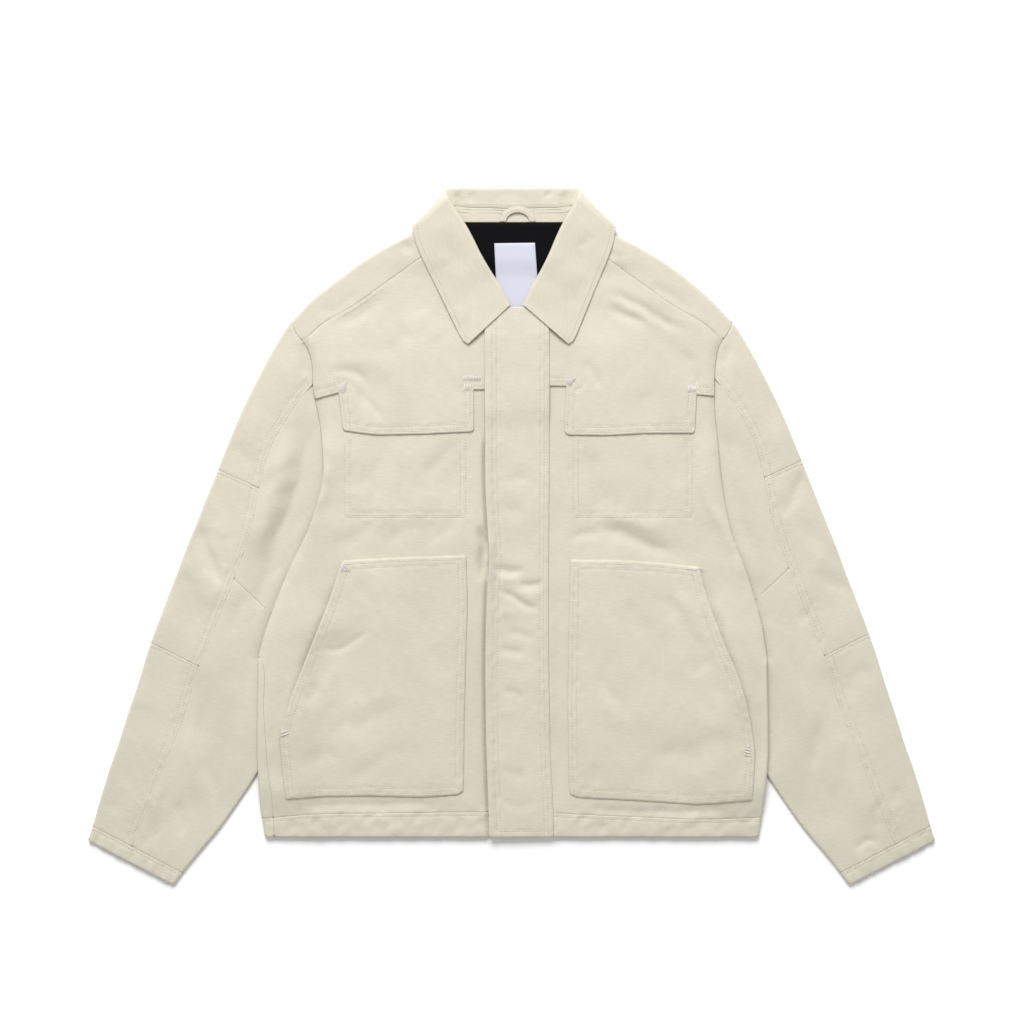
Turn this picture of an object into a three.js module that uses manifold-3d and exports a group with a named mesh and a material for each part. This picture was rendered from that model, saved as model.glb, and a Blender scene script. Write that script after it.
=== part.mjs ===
// A canvas chore jacket, laid flat on its back with its front up. Millimetres; X runs from the wearer's right
// to left, Y from the hem to the collar, Z up from the surface that it lies on.
import * as THREE from "three";
import { mergeVertices } from "three/addons/utils/BufferGeometryUtils.js";
import Module from "manifold-3d";

const wasm = await Module();
wasm.setup();

// Driving sizes
const CLOTH = 2; // wall of the canvas, two plies with the turnings pressed in
const SEAM = 0.3; // space between two pieces that are sewn together
const LAP = CLOTH + SEAM; // how far a lapped piece stands above the piece under it
const LINING = 1;
const LABEL = 0.6;
const BODY_HEIGHT = 7; // both walls of the body, pressed flat
const SLEEVE_HEIGHT = 6.6;
const TUCKED_HEIGHT = 4.8; // the sleeve's inner fold, pressed under the body
const CUFF_HEIGHT = 5.4;
const HEM_Y = -346.2;
const HEM_SEAM_Y = -322;
const NECK_SEAM_Y = 361.5; // back neck, where the collar stand is sewn on
const NECK_EDGE_Y = NECK_SEAM_Y - 2.5; // top edge of the back yoke
const PLACKET_TOP_Y = 264;
const CENTRE_X = 7; // centre front, under the placket
const YOKE_BACK_Y = 214; // seam of the back yoke across the back
const FRONT_TOP_Y = 184; // top edge of the fronts, tucked under the yokes
const ARMPIT_Y = -139;
const TUCK_LIFT = 5.6; // how far the body's side is carried up by the sleeve under it
const COLLAR_LIFT = 2.6; // how far the neck is carried up by the collar folded behind it
const COLLAR_WALL = 1.8;
const COLLAR_EDGE_LIFT = 0.8; // air under the collar's leaves
const TOP = 60; // above everything, for cutting blocks
const FOLD_STEPS = 3; // facets round a folded edge
const FAR = 900; // beyond the garment, for cutting outlines

// Left and right edge of the body at the heights where its outline bends: sides, shoulders and neck
const BODY_OUTLINE = [
  { y: HEM_Y, left: -284, right: 285 },
  { y: -322, left: -288, right: 288.5 },
  { y: -280, left: -291.5, right: 293.5 },
  { y: 150, left: -292, right: 294 },
  { y: 225, left: -276, right: 277 },
  { y: 246, left: -254.5, right: 255 },
  { y: 271, left: -231, right: 231 },
  { y: 299, left: -196, right: 199 },
  { y: 324, left: -160, right: 163 },
  { y: 347, left: -116, right: 118 },
  { y: 352, left: -104, right: 106 },
  { y: NECK_EDGE_Y, left: -91, right: 93 },
];

// The armhole seam, from the shoulder tip to the armpit
const ARMHOLE = [
  { y: 262, left: -262, right: 263 },
  { y: 246, left: -253.5, right: 254.5 },
  { y: 232, left: -247, right: 248 },
  { y: 218, left: -236, right: 239 },
  { y: 200, left: -230, right: 235 },
  { y: 170, left: -228.5, right: 233.5 },
  { y: 134, left: -221.5, right: 235 },
  { y: 104, left: -218, right: 238 },
  { y: 70, left: -217, right: 241 },
  { y: 40, left: -223, right: 245.5 },
  { y: 5, left: -235.5, right: 253 },
  { y: -35, left: -255, right: 268 },
  { y: -74, left: -271, right: 281 },
  { y: -108, left: -283, right: 289 },
  { y: ARMPIT_Y, left: -291.5, right: 293.5 },
];

// Rows across a sleeve, inner edge to outer edge, as distances out from the middle of the back
const SLEEVE_ROWS = [
  { innerX: 237, innerY: 257, outerX: 255, outerY: 246 },
  { innerX: 222, innerY: 230, outerX: 268, outerY: 226 },
  { innerX: 213, innerY: 192, outerX: 288, outerY: 190 },
  { innerX: 207, innerY: 150, outerX: 308, outerY: 150 },
  { innerX: 203, innerY: 110, outerX: 325, outerY: 110 },
  { innerX: 203, innerY: 70, outerX: 341, outerY: 70 },
  { innerX: 210, innerY: 30, outerX: 357, outerY: 30 },
  { innerX: 224, innerY: -10, outerX: 373, outerY: -10 },
  { innerX: 242, innerY: -50, outerX: 388, outerY: -50 },
  { innerX: 255, innerY: -90, outerX: 403.5, outerY: -90 },
  { innerX: 262, innerY: -130, outerX: 418, outerY: -130 },
  { innerX: 263, innerY: -168, outerX: 431, outerY: -172 },
  { innerX: 267, innerY: -207, outerX: 444, outerY: -211 },
  { innerX: 277, innerY: -243, outerX: 453, outerY: -240 },
  { innerX: 293, innerY: -273, outerX: 461, outerY: -262 },
  { innerX: 314, innerY: -305, outerX: 468, outerY: -284 },
  { innerX: 337, innerY: -337, outerX: 475, outerY: -307 },
  { innerX: 358, innerY: -362, outerX: 480, outerY: -325 },
  { innerX: 376, innerY: -384, outerX: 484, outerY: -338 },
  { innerX: 389, innerY: -402, outerX: 488, outerY: -350.5 },
];

// Soft folds of the body: a ridge or a trough along a straight stretch
const BODY_FOLDS = [
  { x0: -208, y0: 96, x1: -262, y1: -70, half: 22, rise: 2.6 },
  { x0: 226, y0: 96, x1: 272, y1: -70, half: 20, rise: 2.0 },
  { x0: -150, y0: 40, x1: -100, y1: 95, half: 20, rise: 1.5 },
  { x0: -205, y0: 10, x1: -95, y1: 32, half: 18, rise: 1.6 },
  { x0: 85, y0: 12, x1: 185, y1: -22, half: 16, rise: -0.8 },
  { x0: 120, y0: 60, x1: 135, y1: 15, half: 22, rise: 1.6 },
  { x0: -222, y0: -105, x1: -175, y1: -100, half: 20, rise: 2.2 },
  { x0: -240, y0: -215, x1: -150, y1: -262, half: 30, rise: 1.4 },
  { x0: 150, y0: -205, x1: 250, y1: -215, half: 30, rise: 1.2 },
  { x0: 228, y0: -85, x1: 262, y1: -180, half: 18, rise: 2.0 },
  { x0: 110, y0: 285, x1: 215, y1: 245, half: 20, rise: 1.4 },
  { x0: -200, y0: 190, x1: -150, y1: 130, half: 20, rise: 1.4 },
];

// Soft folds of the sleeves, as distances out from the middle
const SLEEVE_FOLDS = [
  { x0: 372, y0: -2, x1: 340, y1: -60, half: 16, rise: 1.8 },
  { x0: 300, y0: 120, x1: 262, y1: 190, half: 20, rise: 1.4 },
  { x0: 320, y0: -190, x1: 352, y1: -300, half: 18, rise: 1.8 },
  { x0: 396, y0: -250, x1: 418, y1: -340, half: 18, rise: 1.4 },
  { x0: 400, y0: -90, x1: 352, y1: -150, half: 18, rise: 1.2 },
];

// The collar, a row for each section from the front end of the left leaf to the middle of the back:
// its neck seam, the seam between stand and fall, the roll and the outer edge, and where they lie
const COLLAR_AXIS_TOP_X = 1; // the collar's middle at the back neck
const COLLAR_AXIS_TIP_X = 7.8; // the same at the leaves' points
const COLLAR_TOP_Y = 402;
const COLLAR_TIP_Y = 218;
const COLLAR_ROWS = [
  { neck: [-15, 262.5], seam: [-10, 264.5], roll: [-1.5, 266], edge: [-50, 221], front: 1 },
  { neck: [-31, 281], seam: [-21, 287], roll: [-12, 286], edge: [-57, 227], front: 1 },
  { neck: [-44, 297], seam: [-32, 306], roll: [-25, 306], edge: [-70, 253], front: 1 },
  { neck: [-55, 312], seam: [-43, 324], roll: [-36, 325], edge: [-83, 280], front: 1 },
  { neck: [-66, 327], seam: [-53, 344], roll: [-47, 347], edge: [-94, 302], front: 1 },
  { neck: [-70, 337], seam: [-60, 357], roll: [-57, 364.5], edge: [-104, 323], front: 1 },
  { neck: [-75, 345], seam: [-67, 367], roll: [-66, 378], edge: [-110, 338], front: 1 },
  { neck: [-76, 352], seam: [-70, 374], roll: [-72, 388], edge: [-113, 350], front: 1 },
  { neck: [-70, 361], seam: [-69, 380], roll: [-75.5, 397], edge: [-114, 356], front: 0.45 },
  { neck: [-63, NECK_SEAM_Y], seam: [-62, 381], roll: [-73, 400.4], edge: [-106, 351], front: 0 },
  { neck: [-52, NECK_SEAM_Y], seam: [-52, 379.5], roll: [-60, 401], edge: [-86, 342], front: 0 },
  { neck: [-32, NECK_SEAM_Y], seam: [-33, 379], roll: [-40, 401], edge: [-58, 340], front: 0 },
];
const COLLAR_BACK_ROW = { neck: [1, NECK_SEAM_Y], seam: [1, 378], roll: [1, 401], edge: [1, 338], front: 0 };

const lerp = THREE.MathUtils.lerp;
const smooth = (value, from, to) => THREE.MathUtils.smoothstep(value, from, to);

// The value of a column at a height, straight between the table's rows
function between(table, y, column) {
  const sign = Math.sign(table[table.length - 1].y - table[0].y);
  for (let i = 1; i < table.length; i++) {
    const [below, above] = [table[i - 1], table[i]];
    if ((y - above.y) * sign <= 0 || i === table.length - 1) {
      const f = THREE.MathUtils.clamp((y - below.y) / (above.y - below.y), 0, 1);
      return lerp(below[column], above[column], f);
    }
  }
}

function distanceToFold(x, y, fold) {
  const dx = fold.x1 - fold.x0;
  const dy = fold.y1 - fold.y0;
  const along = ((x - fold.x0) * dx + (y - fold.y0) * dy) / (dx * dx + dy * dy);
  const f = THREE.MathUtils.clamp(along, 0, 1);
  return Math.hypot(x - fold.x0 - dx * f, y - fold.y0 - dy * f);
}

function foldRise(folds, x, y) {
  const riseOf = (fold) => fold.rise * Math.exp(-((distanceToFold(x, y, fold) / fold.half) ** 2));
  return folds.reduce((sum, fold) => sum + riseOf(fold), 0);
}

// How far the back is carried up: at the sides by the tucked sleeves, at the neck by the folded collar
function bodyLift(x, y) {
  const side = smooth(Math.abs(x), 214, 246);
  const beside = smooth(y, -335, -285) * (1 - smooth(y, -118, -50));
  const neck = smooth(y, 296, 322) * (1 - smooth(Math.abs(x), 128, 160));
  return TUCK_LIFT * side * beside + COLLAR_LIFT * neck;
}

const bodyHeight = (x, y) => BODY_HEIGHT + foldRise(BODY_FOLDS, x, y);
const bodyTop = (x, y) => bodyLift(x, y) + bodyHeight(x, y);
const bodyMiddle = (x, y) => bodyLift(x, y) + bodyHeight(x, y) / 2;

// Height of a sleeve where it lies: low at its inner fold and cuff, full along its middle
function sleeveHeight(x, y, across) {
  const spread = smooth(across, 0.26, 0.5);
  const towardCuff = smooth(-y, 300, 350);
  const full = SLEEVE_HEIGHT + foldRise(SLEEVE_FOLDS, Math.abs(x), y);
  return lerp(lerp(TUCKED_HEIGHT, full, spread), CUFF_HEIGHT, towardCuff);
}

// A closed wall from rings of points, each ring going along one face and back along the other. Both faces
// are split along the same diagonals, so that layers of one grid stay parallel.
function loft(rings) {
  const count = rings[0].length;
  const corners = rings.flat();
  const index = [];
  const quad = (a, b, c, d) => index.push(a, b, c, a, c, d);
  for (let i = 0; i < rings.length - 1; i++) {
    const [here, next] = [i * count, (i + 1) * count];
    for (let j = 0; j < count; j++) {
      const k = (j + 1) % count;
      if (j < count / 2) quad(here + j, here + k, next + k, next + j);
      else quad(here + k, next + k, next + j, here + j);
    }
  }
  const end = (rings.length - 1) * count;
  for (let j = 0; j < count / 2 - 1; j++) {
    const other = count - 1 - j;
    quad(j, other, other - 1, j + 1);
    quad(end + j, end + j + 1, end + other - 1, end + other);
  }
  const geometry = new THREE.BufferGeometry().setFromPoints(corners).setIndex(index);
  return solidOf(geometry);
}

// A library solid from a closed geometry, turned outside out if its faces point in
function solidOf(geometry) {
  const bare = geometry.clone();
  bare.deleteAttribute("normal");
  bare.deleteAttribute("uv");
  const merged = mergeVertices(bare, 1e-4);
  const vertProperties = new Float32Array(merged.attributes.position.array);
  const triVerts = new Uint32Array(merged.index.array);
  const make = () => new wasm.Manifold(new wasm.Mesh({ numProp: 3, vertProperties, triVerts }));
  const solid = make();
  if (solid.volume() > 0) return solid;
  for (let i = 0; i < triVerts.length; i += 3) {
    [triVerts[i + 1], triVerts[i + 2]] = [triVerts[i + 2], triVerts[i + 1]];
  }
  return make();
}

// A garment tube pressed flat. Each row runs from a to b in plan; the wall is CLOTH thick all round.
function flatTube(rows, lift, height, overCount, underShares) {
  const rings = rows.map(({ a, b }) => {
    const length = Math.hypot(b[0] - a[0], b[1] - a[1]);
    const outer = [];
    const inner = [];
    const at = (across) => [lerp(a[0], b[0], across), lerp(a[1], b[1], across)];
    const put = (across, zOuter, zInner, inset) => {
      outer.push(new THREE.Vector3(...at(across), zOuter));
      inner.push(new THREE.Vector3(...at(across + inset / length), zInner));
    };
    const flat = (across, up) => {
      const [x, y] = at(across);
      const low = lift(x, y);
      const high = height(x, y, across);
      put(across, up ? low + high : low, up ? low + high - CLOTH : low + CLOTH, 0);
    };
    const fold = (end) => {
      const [x, y] = at(end);
      const radius = height(x, y, end) / 2;
      const middle = lift(x, y) + radius;
      const side = end === 0 ? 1 : -1;
      for (let i = 1; i < FOLD_STEPS; i++) {
        const angle = side * Math.PI * (i / FOLD_STEPS - 0.5);
        const across = end + (side * radius * (1 - Math.cos(angle))) / length;
        const inset = side * CLOTH * Math.cos(angle);
        put(across, middle + radius * Math.sin(angle), middle + (radius - CLOTH) * Math.sin(angle), inset);
      }
    };
    const edgeShare = BODY_HEIGHT / 2 / length;
    for (let j = 0; j <= overCount; j++) flat(lerp(edgeShare, 1 - edgeShare, j / overCount), true);
    fold(1);
    for (const share of underShares) flat(lerp(edgeShare, 1 - edgeShare, share), false);
    fold(0);
    return { outer, inner };
  });
  const surface = (name) => rings.map((ring) => ring[name]);
  return tubeSolid(surface("outer"), surface("inner"));
}

// The solid between an outer and an inner tube surface with the same grid of points
function tubeSolid(outer, inner) {
  const rows = outer.length;
  const count = outer[0].length;
  const corners = [...outer.flat(), ...inner.flat()];
  const inside = rows * count;
  const index = [];
  const quad = (a, b, c, d) => index.push(a, b, c, a, c, d);
  for (let j = 0; j < count; j++) {
    const k = (j + 1) % count;
    for (let i = 0; i < rows - 1; i++) {
      const [here, next] = [i * count, (i + 1) * count];
      quad(here + j, here + k, next + k, next + j);
      quad(inside + here + j, inside + next + j, inside + next + k, inside + here + k);
    }
    const end = (rows - 1) * count;
    quad(j, inside + j, inside + k, k);
    quad(end + j, end + k, inside + end + k, inside + end + j);
  }
  return solidOf(new THREE.BufferGeometry().setFromPoints(corners).setIndex(index));
}

// A sheet between two surfaces over one grid of plan points
function sheet(grid, bottom, top) {
  const rings = grid.map((row) => [
    ...row.map(([x, y]) => new THREE.Vector3(x, y, top(x, y))),
    ...[...row].reverse().map(([x, y]) => new THREE.Vector3(x, y, bottom(x, y))),
  ]);
  return loft(rings);
}

// An upright block over an outline, and a thin upright wall along a seam
function block(outline) {
  const shape = new THREE.Shape(outline.map(([x, y]) => new THREE.Vector2(x, y)));
  const geometry = new THREE.ExtrudeGeometry(shape, { depth: TOP + 2, bevelEnabled: false, steps: 1 });
  return solidOf(geometry.translate(0, 0, -1));
}

function seamWall(line) {
  const points = line.map(([x, y]) => new THREE.Vector2(x, y));
  const normals = points.map((point, i) => {
    const before = points[Math.max(i - 1, 0)];
    const after = points[Math.min(i + 1, points.length - 1)];
    const along = after.clone().sub(before).normalize();
    return new THREE.Vector2(-along.y, along.x).multiplyScalar(SEAM / 2);
  });
  const shifted = (sign) =>
    points.map((point, i) => point.clone().addScaledVector(normals[i], sign).toArray());
  return block([...shifted(1), ...shifted(-1).reverse()]);
}

const FAR_SQUARE = [[-FAR, -FAR], [FAR, -FAR], [FAR, FAR], [-FAR, FAR]];
const halfSpace = (z) => block(FAR_SQUARE).translate([0, 0, z + 1]);
const seamWalls = (lines) => lines.map(seamWall).reduce((all, wall) => all.add(wall));
const mirrored = (points, axis = 0) => points.map(([x, y]) => [2 * axis - x, y]).reverse();

// The body: one tube from hem to shoulders, from which the fronts, backs and hem bands are cut
const BODY_ROW_YS = [
  HEM_Y, -334, HEM_SEAM_Y, -295, -260, -225, -195, -165, -140, -115, -85, -55, -25, 0, 28, 60, 92, 120,
  148, 182, 215, 246, 262, 280, 299, 322, 337, 347, 352, NECK_EDGE_Y,
];
const OVER_COLUMNS = 16;
const UNDER_SHARES = [1, 0.93, 0.87, 0.75, 0.6, 0.4, 0.25, 0.13, 0.07, 0];

const bodyRows = BODY_ROW_YS.map((y) => ({
  a: [between(BODY_OUTLINE, y, "left"), y],
  b: [between(BODY_OUTLINE, y, "right"), y],
}));

// Plan points of the body's upper wall, which every piece that lies on it repeats
const bodyGrid = bodyRows.map(({ a, b }) => {
  const edgeShare = BODY_HEIGHT / 2 / (b[0] - a[0]);
  const across = (j) => lerp(edgeShare, 1 - edgeShare, j / OVER_COLUMNS);
  return Array.from({ length: OVER_COLUMNS + 1 }, (_, j) => [lerp(a[0], b[0], across(j)), a[1]]);
});

const BESIDE = 9; // how far the cutting sheet reaches past the body
const widened = bodyGrid.map((row) => {
  const [[left, y], [right]] = [row[0], row[OVER_COLUMNS]];
  return [[left - BESIDE, y], ...row, [right + BESIDE, y]];
});
const cutGrid = [
  widened[0].map(([x, y]) => [x, y - BESIDE]),
  ...widened,
  widened[widened.length - 1].map(([x, y]) => [x, y + BESIDE]),
];
const aboveMiddle = (gap) => sheet(cutGrid, (x, y) => bodyMiddle(x, y) + gap, () => TOP);

const bodyTube = flatTube(bodyRows, bodyLift, bodyHeight, OVER_COLUMNS, UNDER_SHARES);

const armholeLine = (side) => ARMHOLE.map((row) => [row[side], row.y]);
const leftArmhole = armholeLine("left");
const rightArmhole = armholeLine("right");

// Seams that show on the front
const SHOULDER_SEAM = [
  [-252, 222], [-233, 231], [-222, 241], [-180, 267], [-142, 294], [-104, 321], [-79, 340],
];
const NECKLINE = [
  [-79, 340], [-72, 334], [-59, 313], [-46, 296], [-32, 279], [-14, 261],
];
const LEFT_SIDE_SEAM = [
  [-300, -130], [-291, ARMPIT_Y], [-285, -202], [-281, -259], [-275, -312], [-273, -352],
];
const SHOULDER_AXIS_X = 2; // about which the two shoulder seams mirror
const NECK_AXIS_X = 7.5; // about which the two edges of the neckline mirror
const shoulderSeamRight = mirrored(SHOULDER_SEAM, SHOULDER_AXIS_X);
const necklineRight = mirrored(NECKLINE, NECK_AXIS_X);
const NECK_POINT = [
  [-84, 352], [-84, 372],
];
const neckPointRight = mirrored(NECK_POINT, SHOULDER_AXIS_X);

const insideArmholes = block([
  ...leftArmhole, [-FAR, ARMPIT_Y], [-FAR, -FAR], [FAR, -FAR], [FAR, ARMPIT_Y],
  ...[...rightArmhole].reverse(), [FAR, 262], [FAR, FAR], [-FAR, FAR], [-FAR, 262],
]);
const armholeWalls = seamWalls([leftArmhole, rightArmhole]);
const bodyShell = bodyTube.intersect(insideArmholes).subtract(armholeWalls);

const frontOutline = [
  ...[...LEFT_SIDE_SEAM].reverse(), [-300, 200], [-252, 222], ...SHOULDER_SEAM.slice(1), ...NECK_POINT,
  ...neckPointRight, ...shoulderSeamRight.slice(0, -1), [256, 222], [300, 200], [302, -352],
];
const frontSeams = seamWalls([
  LEFT_SIDE_SEAM, [...SHOULDER_SEAM, ...NECK_POINT], [...neckPointRight, ...shoulderSeamRight],
]).intersect(aboveMiddle(0));
const frontBlock = block(frontOutline);
const underHalf = bodyShell.subtract(aboveMiddle(-SEAM / 2).intersect(frontBlock)).subtract(frontSeams);
const overHalf = bodyShell.intersect(aboveMiddle(SEAM / 2)).intersect(frontBlock).subtract(frontSeams);

const HEM_SEAM = [
  [-FAR, HEM_SEAM_Y - 3], [-285, HEM_SEAM_Y - 3], [-241, HEM_SEAM_Y + 1], [-152, HEM_SEAM_Y + 3],
  [48, HEM_SEAM_Y + 3], [137, HEM_SEAM_Y - 1], [226, HEM_SEAM_Y - 4], [287, HEM_SEAM_Y - 2],
  [FAR, HEM_SEAM_Y - 2],
];
const BACK_YOKE_SEAM = [
  [-FAR, YOKE_BACK_Y], [FAR, YOKE_BACK_Y],
];
const belowHem = block([...HEM_SEAM, [FAR, -FAR], [-FAR, -FAR]]);
const aboveYokeSeam = block([...BACK_YOKE_SEAM, [FAR, FAR], [-FAR, FAR]]);
const acrossWalls = seamWalls([HEM_SEAM, BACK_YOKE_SEAM]);
const centreWall = seamWall([[CENTRE_X, -FAR], [CENTRE_X, FAR]]);
const leftHalf = block([[-FAR, -FAR], [CENTRE_X, -FAR], [CENTRE_X, FAR], [-FAR, FAR]]);
const belowFrontTop = block([[-FAR, -FAR], [FAR, -FAR], [FAR, FRONT_TOP_Y], [-FAR, FRONT_TOP_Y]]);

const under = underHalf.subtract(acrossWalls);
const over = overHalf.subtract(seamWall(HEM_SEAM)).subtract(centreWall);
const fronts = over.intersect(belowFrontTop).subtract(belowHem);
const hemFronts = over.intersect(belowHem);

// The front yokes, lapped over the fronts and cut in one with the pocket flaps
const yokeLap = (x, y) => LAP * (1 - smooth(y, 215, 262));
const yokeSheet = sheet(
  bodyGrid,
  (x, y) => bodyTop(x, y) - CLOTH + yokeLap(x, y),
  (x, y) => bodyTop(x, y) + yokeLap(x, y),
);
const LEFT_YOKE_OUTLINE = [
  [CENTRE_X, 261], [CENTRE_X, 170], [-43.6, 168.6], [-43.4, 120.5], [-103, 117.6], [-156, 116.6],
  [-194, 121.6], [-199, 165], [-224, 158.5], [-290, 158.5], [-290, 212], ...SHOULDER_SEAM,
  ...NECKLINE.slice(1),
];
const RIGHT_YOKE_OUTLINE = [
  ...necklineRight.slice(0, -1), ...shoulderSeamRight, [290, 212], [290, 161.6], [232, 161.6], [213, 163],
  [211, 121.6], [209, 118.6], [157, 118.6], [109, 116], [65, 116.6], [60.5, 120.5], [62.6, 173],
  [CENTRE_X, 173], [CENTRE_X, 261],
];
const yokeWalls = frontSeams.add(centreWall).add(armholeWalls);
const yokeOf = (outline) => yokeSheet.intersect(block(outline)).intersect(insideArmholes).subtract(yokeWalls);

// The placket covers the centre front; it climbs on to the yokes above the flaps
const placketLap = (y) => SEAM + LAP * smooth(y, 120, 148) * (1 - smooth(y, 225, 262));
const PLACKET_OUTLINE = [
  [-31.4, PLACKET_TOP_Y], [-30.6, 123], [-29.6, 44], [-26.6, -5], [-25.5, -25], [-27.6, -55], [-29.6, -108],
  [-29.6, -212], [-25.5, HEM_Y], [48.6, HEM_Y], [47.7, -311], [44.7, -251], [43.7, -192], [42.7, -108],
  [43.7, 84], [43.7, PLACKET_TOP_Y],
];
const onBody = (lap, wall) =>
  sheet(
    bodyGrid,
    (x, y) => bodyTop(x, y) + lap(y),
    (x, y) => bodyTop(x, y) + lap(y) + wall,
  );
const placket = onBody(placketLap, CLOTH).intersect(block(PLACKET_OUTLINE));

// Hand pockets with slanted mouths
const LEFT_POCKET = [
  [-195, -28], [-146, -25], [-52.4, -22], [-50.4, -73], [-52.3, -133], [-54.3, -212], [-55.3, -294],
  [-63, -298], [-103, -300.6], [-162, -299], [-222, -300], [-260, -303], [-267, -230], [-261, -208],
  [-253, -184], [-235.5, -139], [-210, -73],
];
const RIGHT_POCKET = [
  [67.7, -27], [137, -28], [216, -35], [226, -73], [244, -123], [261.5, -164], [273.5, -208], [280, -248.5],
  [277, -304], [216, -309], [137, -304], [77, -301], [66.5, -297], [64.5, -192], [66.5, -73],
];
const pocketSheet = onBody(() => SEAM, CLOTH);
const pocketOf = (outline) => pocketSheet.intersect(block(outline));

// The black lining that shows in the neck, and the label on it
const LINING_TOP_Y = NECK_EDGE_Y - 1;
const LINING_OUTLINE = [
  [-74, LINING_TOP_Y], [-84, 330], [-66, 290], [-30, 248], [44, 248], [74, 290], [90, 330],
  [80, LINING_TOP_Y],
];
const LABEL_OUTLINE = [
  [-20, 337.4], [27, 338], [30, 296], [32, 253], [-15, 253], [-18, 295],
];
const inNeck = (clear, wall) =>
  sheet(
    bodyGrid,
    (x, y) => bodyLift(x, y) + CLOTH + clear,
    (x, y) => bodyLift(x, y) + CLOTH + clear + wall,
  );
const lining = inNeck(SEAM, LINING).intersect(block(LINING_OUTLINE));
const label = inNeck(LINING + 2 * SEAM, LABEL).intersect(block(LABEL_OUTLINE));

// The collar's sections run from the left leaf's front end round the back to the right leaf's
function collarMirror(row) {
  const across = ([x, y]) => {
    const down = (COLLAR_TOP_Y - y) / (COLLAR_TOP_Y - COLLAR_TIP_Y);
    return [2 * lerp(COLLAR_AXIS_TOP_X, COLLAR_AXIS_TIP_X, down) - x, y];
  };
  const { neck, seam, roll, edge, front } = row;
  return { neck: across(neck), seam: across(seam), roll: across(roll), edge: across(edge), front };
}
const collarRows = [...COLLAR_ROWS, COLLAR_BACK_ROW, ...[...COLLAR_ROWS].reverse().map(collarMirror)];

// Heights of the collar's middle plane along a section
const BEHIND_Z = COLLAR_WALL / 2;
const NECK_Z = COLLAR_LIFT + CLOTH / 2;
const ROLL_RISE = 5; // the roll's own height at the leaves
const ROLL_LEAST = 1; // half the roll's height at least, in plan
const STAND_GAP = 2; // between the stand's edges and what it is sewn to
const PLACKET_REACH = 62; // a leaf closer than this to the centre front rides on the placket
const FALL_START = 0.2; // where the fall starts, as a share of the way from its seam to the roll
const LEAF_SHARES = [0.12, 0.35, 0.6, 0.8, 1];
const standZ = (x, y, front) => lerp(NECK_Z, bodyLift(x, y) + BODY_HEIGHT - CLOTH / 2, front);

function leafZ(x, y) {
  const onPlacket = Math.abs(x - CENTRE_X) < PLACKET_REACH ? 1 : 0;
  const layers = onPlacket * (SEAM + CLOTH) + yokeLap(x, y);
  return bodyTop(x, y) + layers + COLLAR_EDGE_LIFT + COLLAR_WALL / 2;
}

function fallSection({ seam: [seamX, seamY], roll: [rollX, rollY], edge: [edgeX, edgeY], front }) {
  const seam = new THREE.Vector3(seamX, seamY, standZ(seamX, seamY, front));
  const edge = new THREE.Vector3(edgeX, edgeY, lerp(BEHIND_Z, leafZ(edgeX, edgeY), front));
  const topZ = lerp(BEHIND_Z, seam.z + ROLL_RISE, front);
  const roll = new THREE.Vector3(rollX, rollY, (seam.z + topZ) / 2);
  const reach = Math.max(Math.abs(topZ - seam.z) / 2, ROLL_LEAST);
  const toward = (target, z) => {
    const flat = target.clone().sub(roll).setZ(0);
    return roll.clone().addScaledVector(flat.normalize(), reach).setZ(z);
  };
  const rise = toward(edge, topZ);
  const points = [seam.clone().lerp(roll, FALL_START), toward(seam, seam.z), roll, rise];
  for (const share of LEAF_SHARES) {
    const point = rise.clone().lerp(edge, share);
    if (front === 1) point.z = Math.max(point.z, leafZ(point.x, point.y));
    points.push(point);
  }
  return points;
}

function standSection({ neck: [neckX, neckY], seam: [seamX, seamY], front }) {
  const neck = new THREE.Vector3(neckX, neckY, standZ(neckX, neckY, front));
  const seam = new THREE.Vector3(seamX, seamY, standZ(seamX, seamY, front));
  const gap = seam.clone().sub(neck);
  gap.setLength(Math.min(STAND_GAP, gap.length() / 4));
  return [neck.add(gap), neck.clone().lerp(seam, 0.5), seam.clone().sub(gap)];
}

// A wall of even thickness about a grid of middle points
function wallAbout(grid, wall) {
  const normalAt = (i, j) => {
    const rowBefore = grid[Math.max(i - 1, 0)][j];
    const rowAfter = grid[Math.min(i + 1, grid.length - 1)][j];
    const before = grid[i][Math.max(j - 1, 0)];
    const after = grid[i][Math.min(j + 1, grid[i].length - 1)];
    const along = rowAfter.clone().sub(rowBefore);
    return along.cross(after.clone().sub(before)).normalize();
  };
  const rings = grid.map((row, i) => {
    const side = (sign) =>
      row.map((point, j) => point.clone().addScaledVector(normalAt(i, j), (sign * wall) / 2));
    return [...side(1), ...side(-1).reverse()];
  });
  return loft(rings);
}

const collarFall = wallAbout(collarRows.map(fallSection), COLLAR_WALL);
const collarStand = wallAbout(collarRows.map(standSection), COLLAR_WALL);

// The hanger loop, a tape bent to an arch that lies on the stand
const LOOP_CENTRE_X = 7;
const LOOP_HALF_SPAN = 17;
const LOOP_TAPE = 7.5;
const LOOP_WALL = 1.4;
const LOOP_FOOT_Y = NECK_SEAM_Y + 1;
const LOOP_RISE = 14;
const LOOP_STEPS = 14;

function hangerLoop() {
  const z = NECK_Z + COLLAR_WALL / 2 + SEAM;
  const rings = Array.from({ length: LOOP_STEPS + 1 }, (_, i) => {
    const angle = Math.PI * (1 - i / LOOP_STEPS);
    const point = (reach, height) =>
      new THREE.Vector3(
        LOOP_CENTRE_X + (LOOP_HALF_SPAN + reach) * Math.cos(angle),
        LOOP_FOOT_Y + (LOOP_RISE + reach) * Math.sin(angle),
        z + height,
      );
    const half = LOOP_TAPE / 2;
    return [point(half, 0), point(half, LOOP_WALL), point(-half, LOOP_WALL), point(-half, 0)];
  });
  return loft(rings);
}

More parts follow.
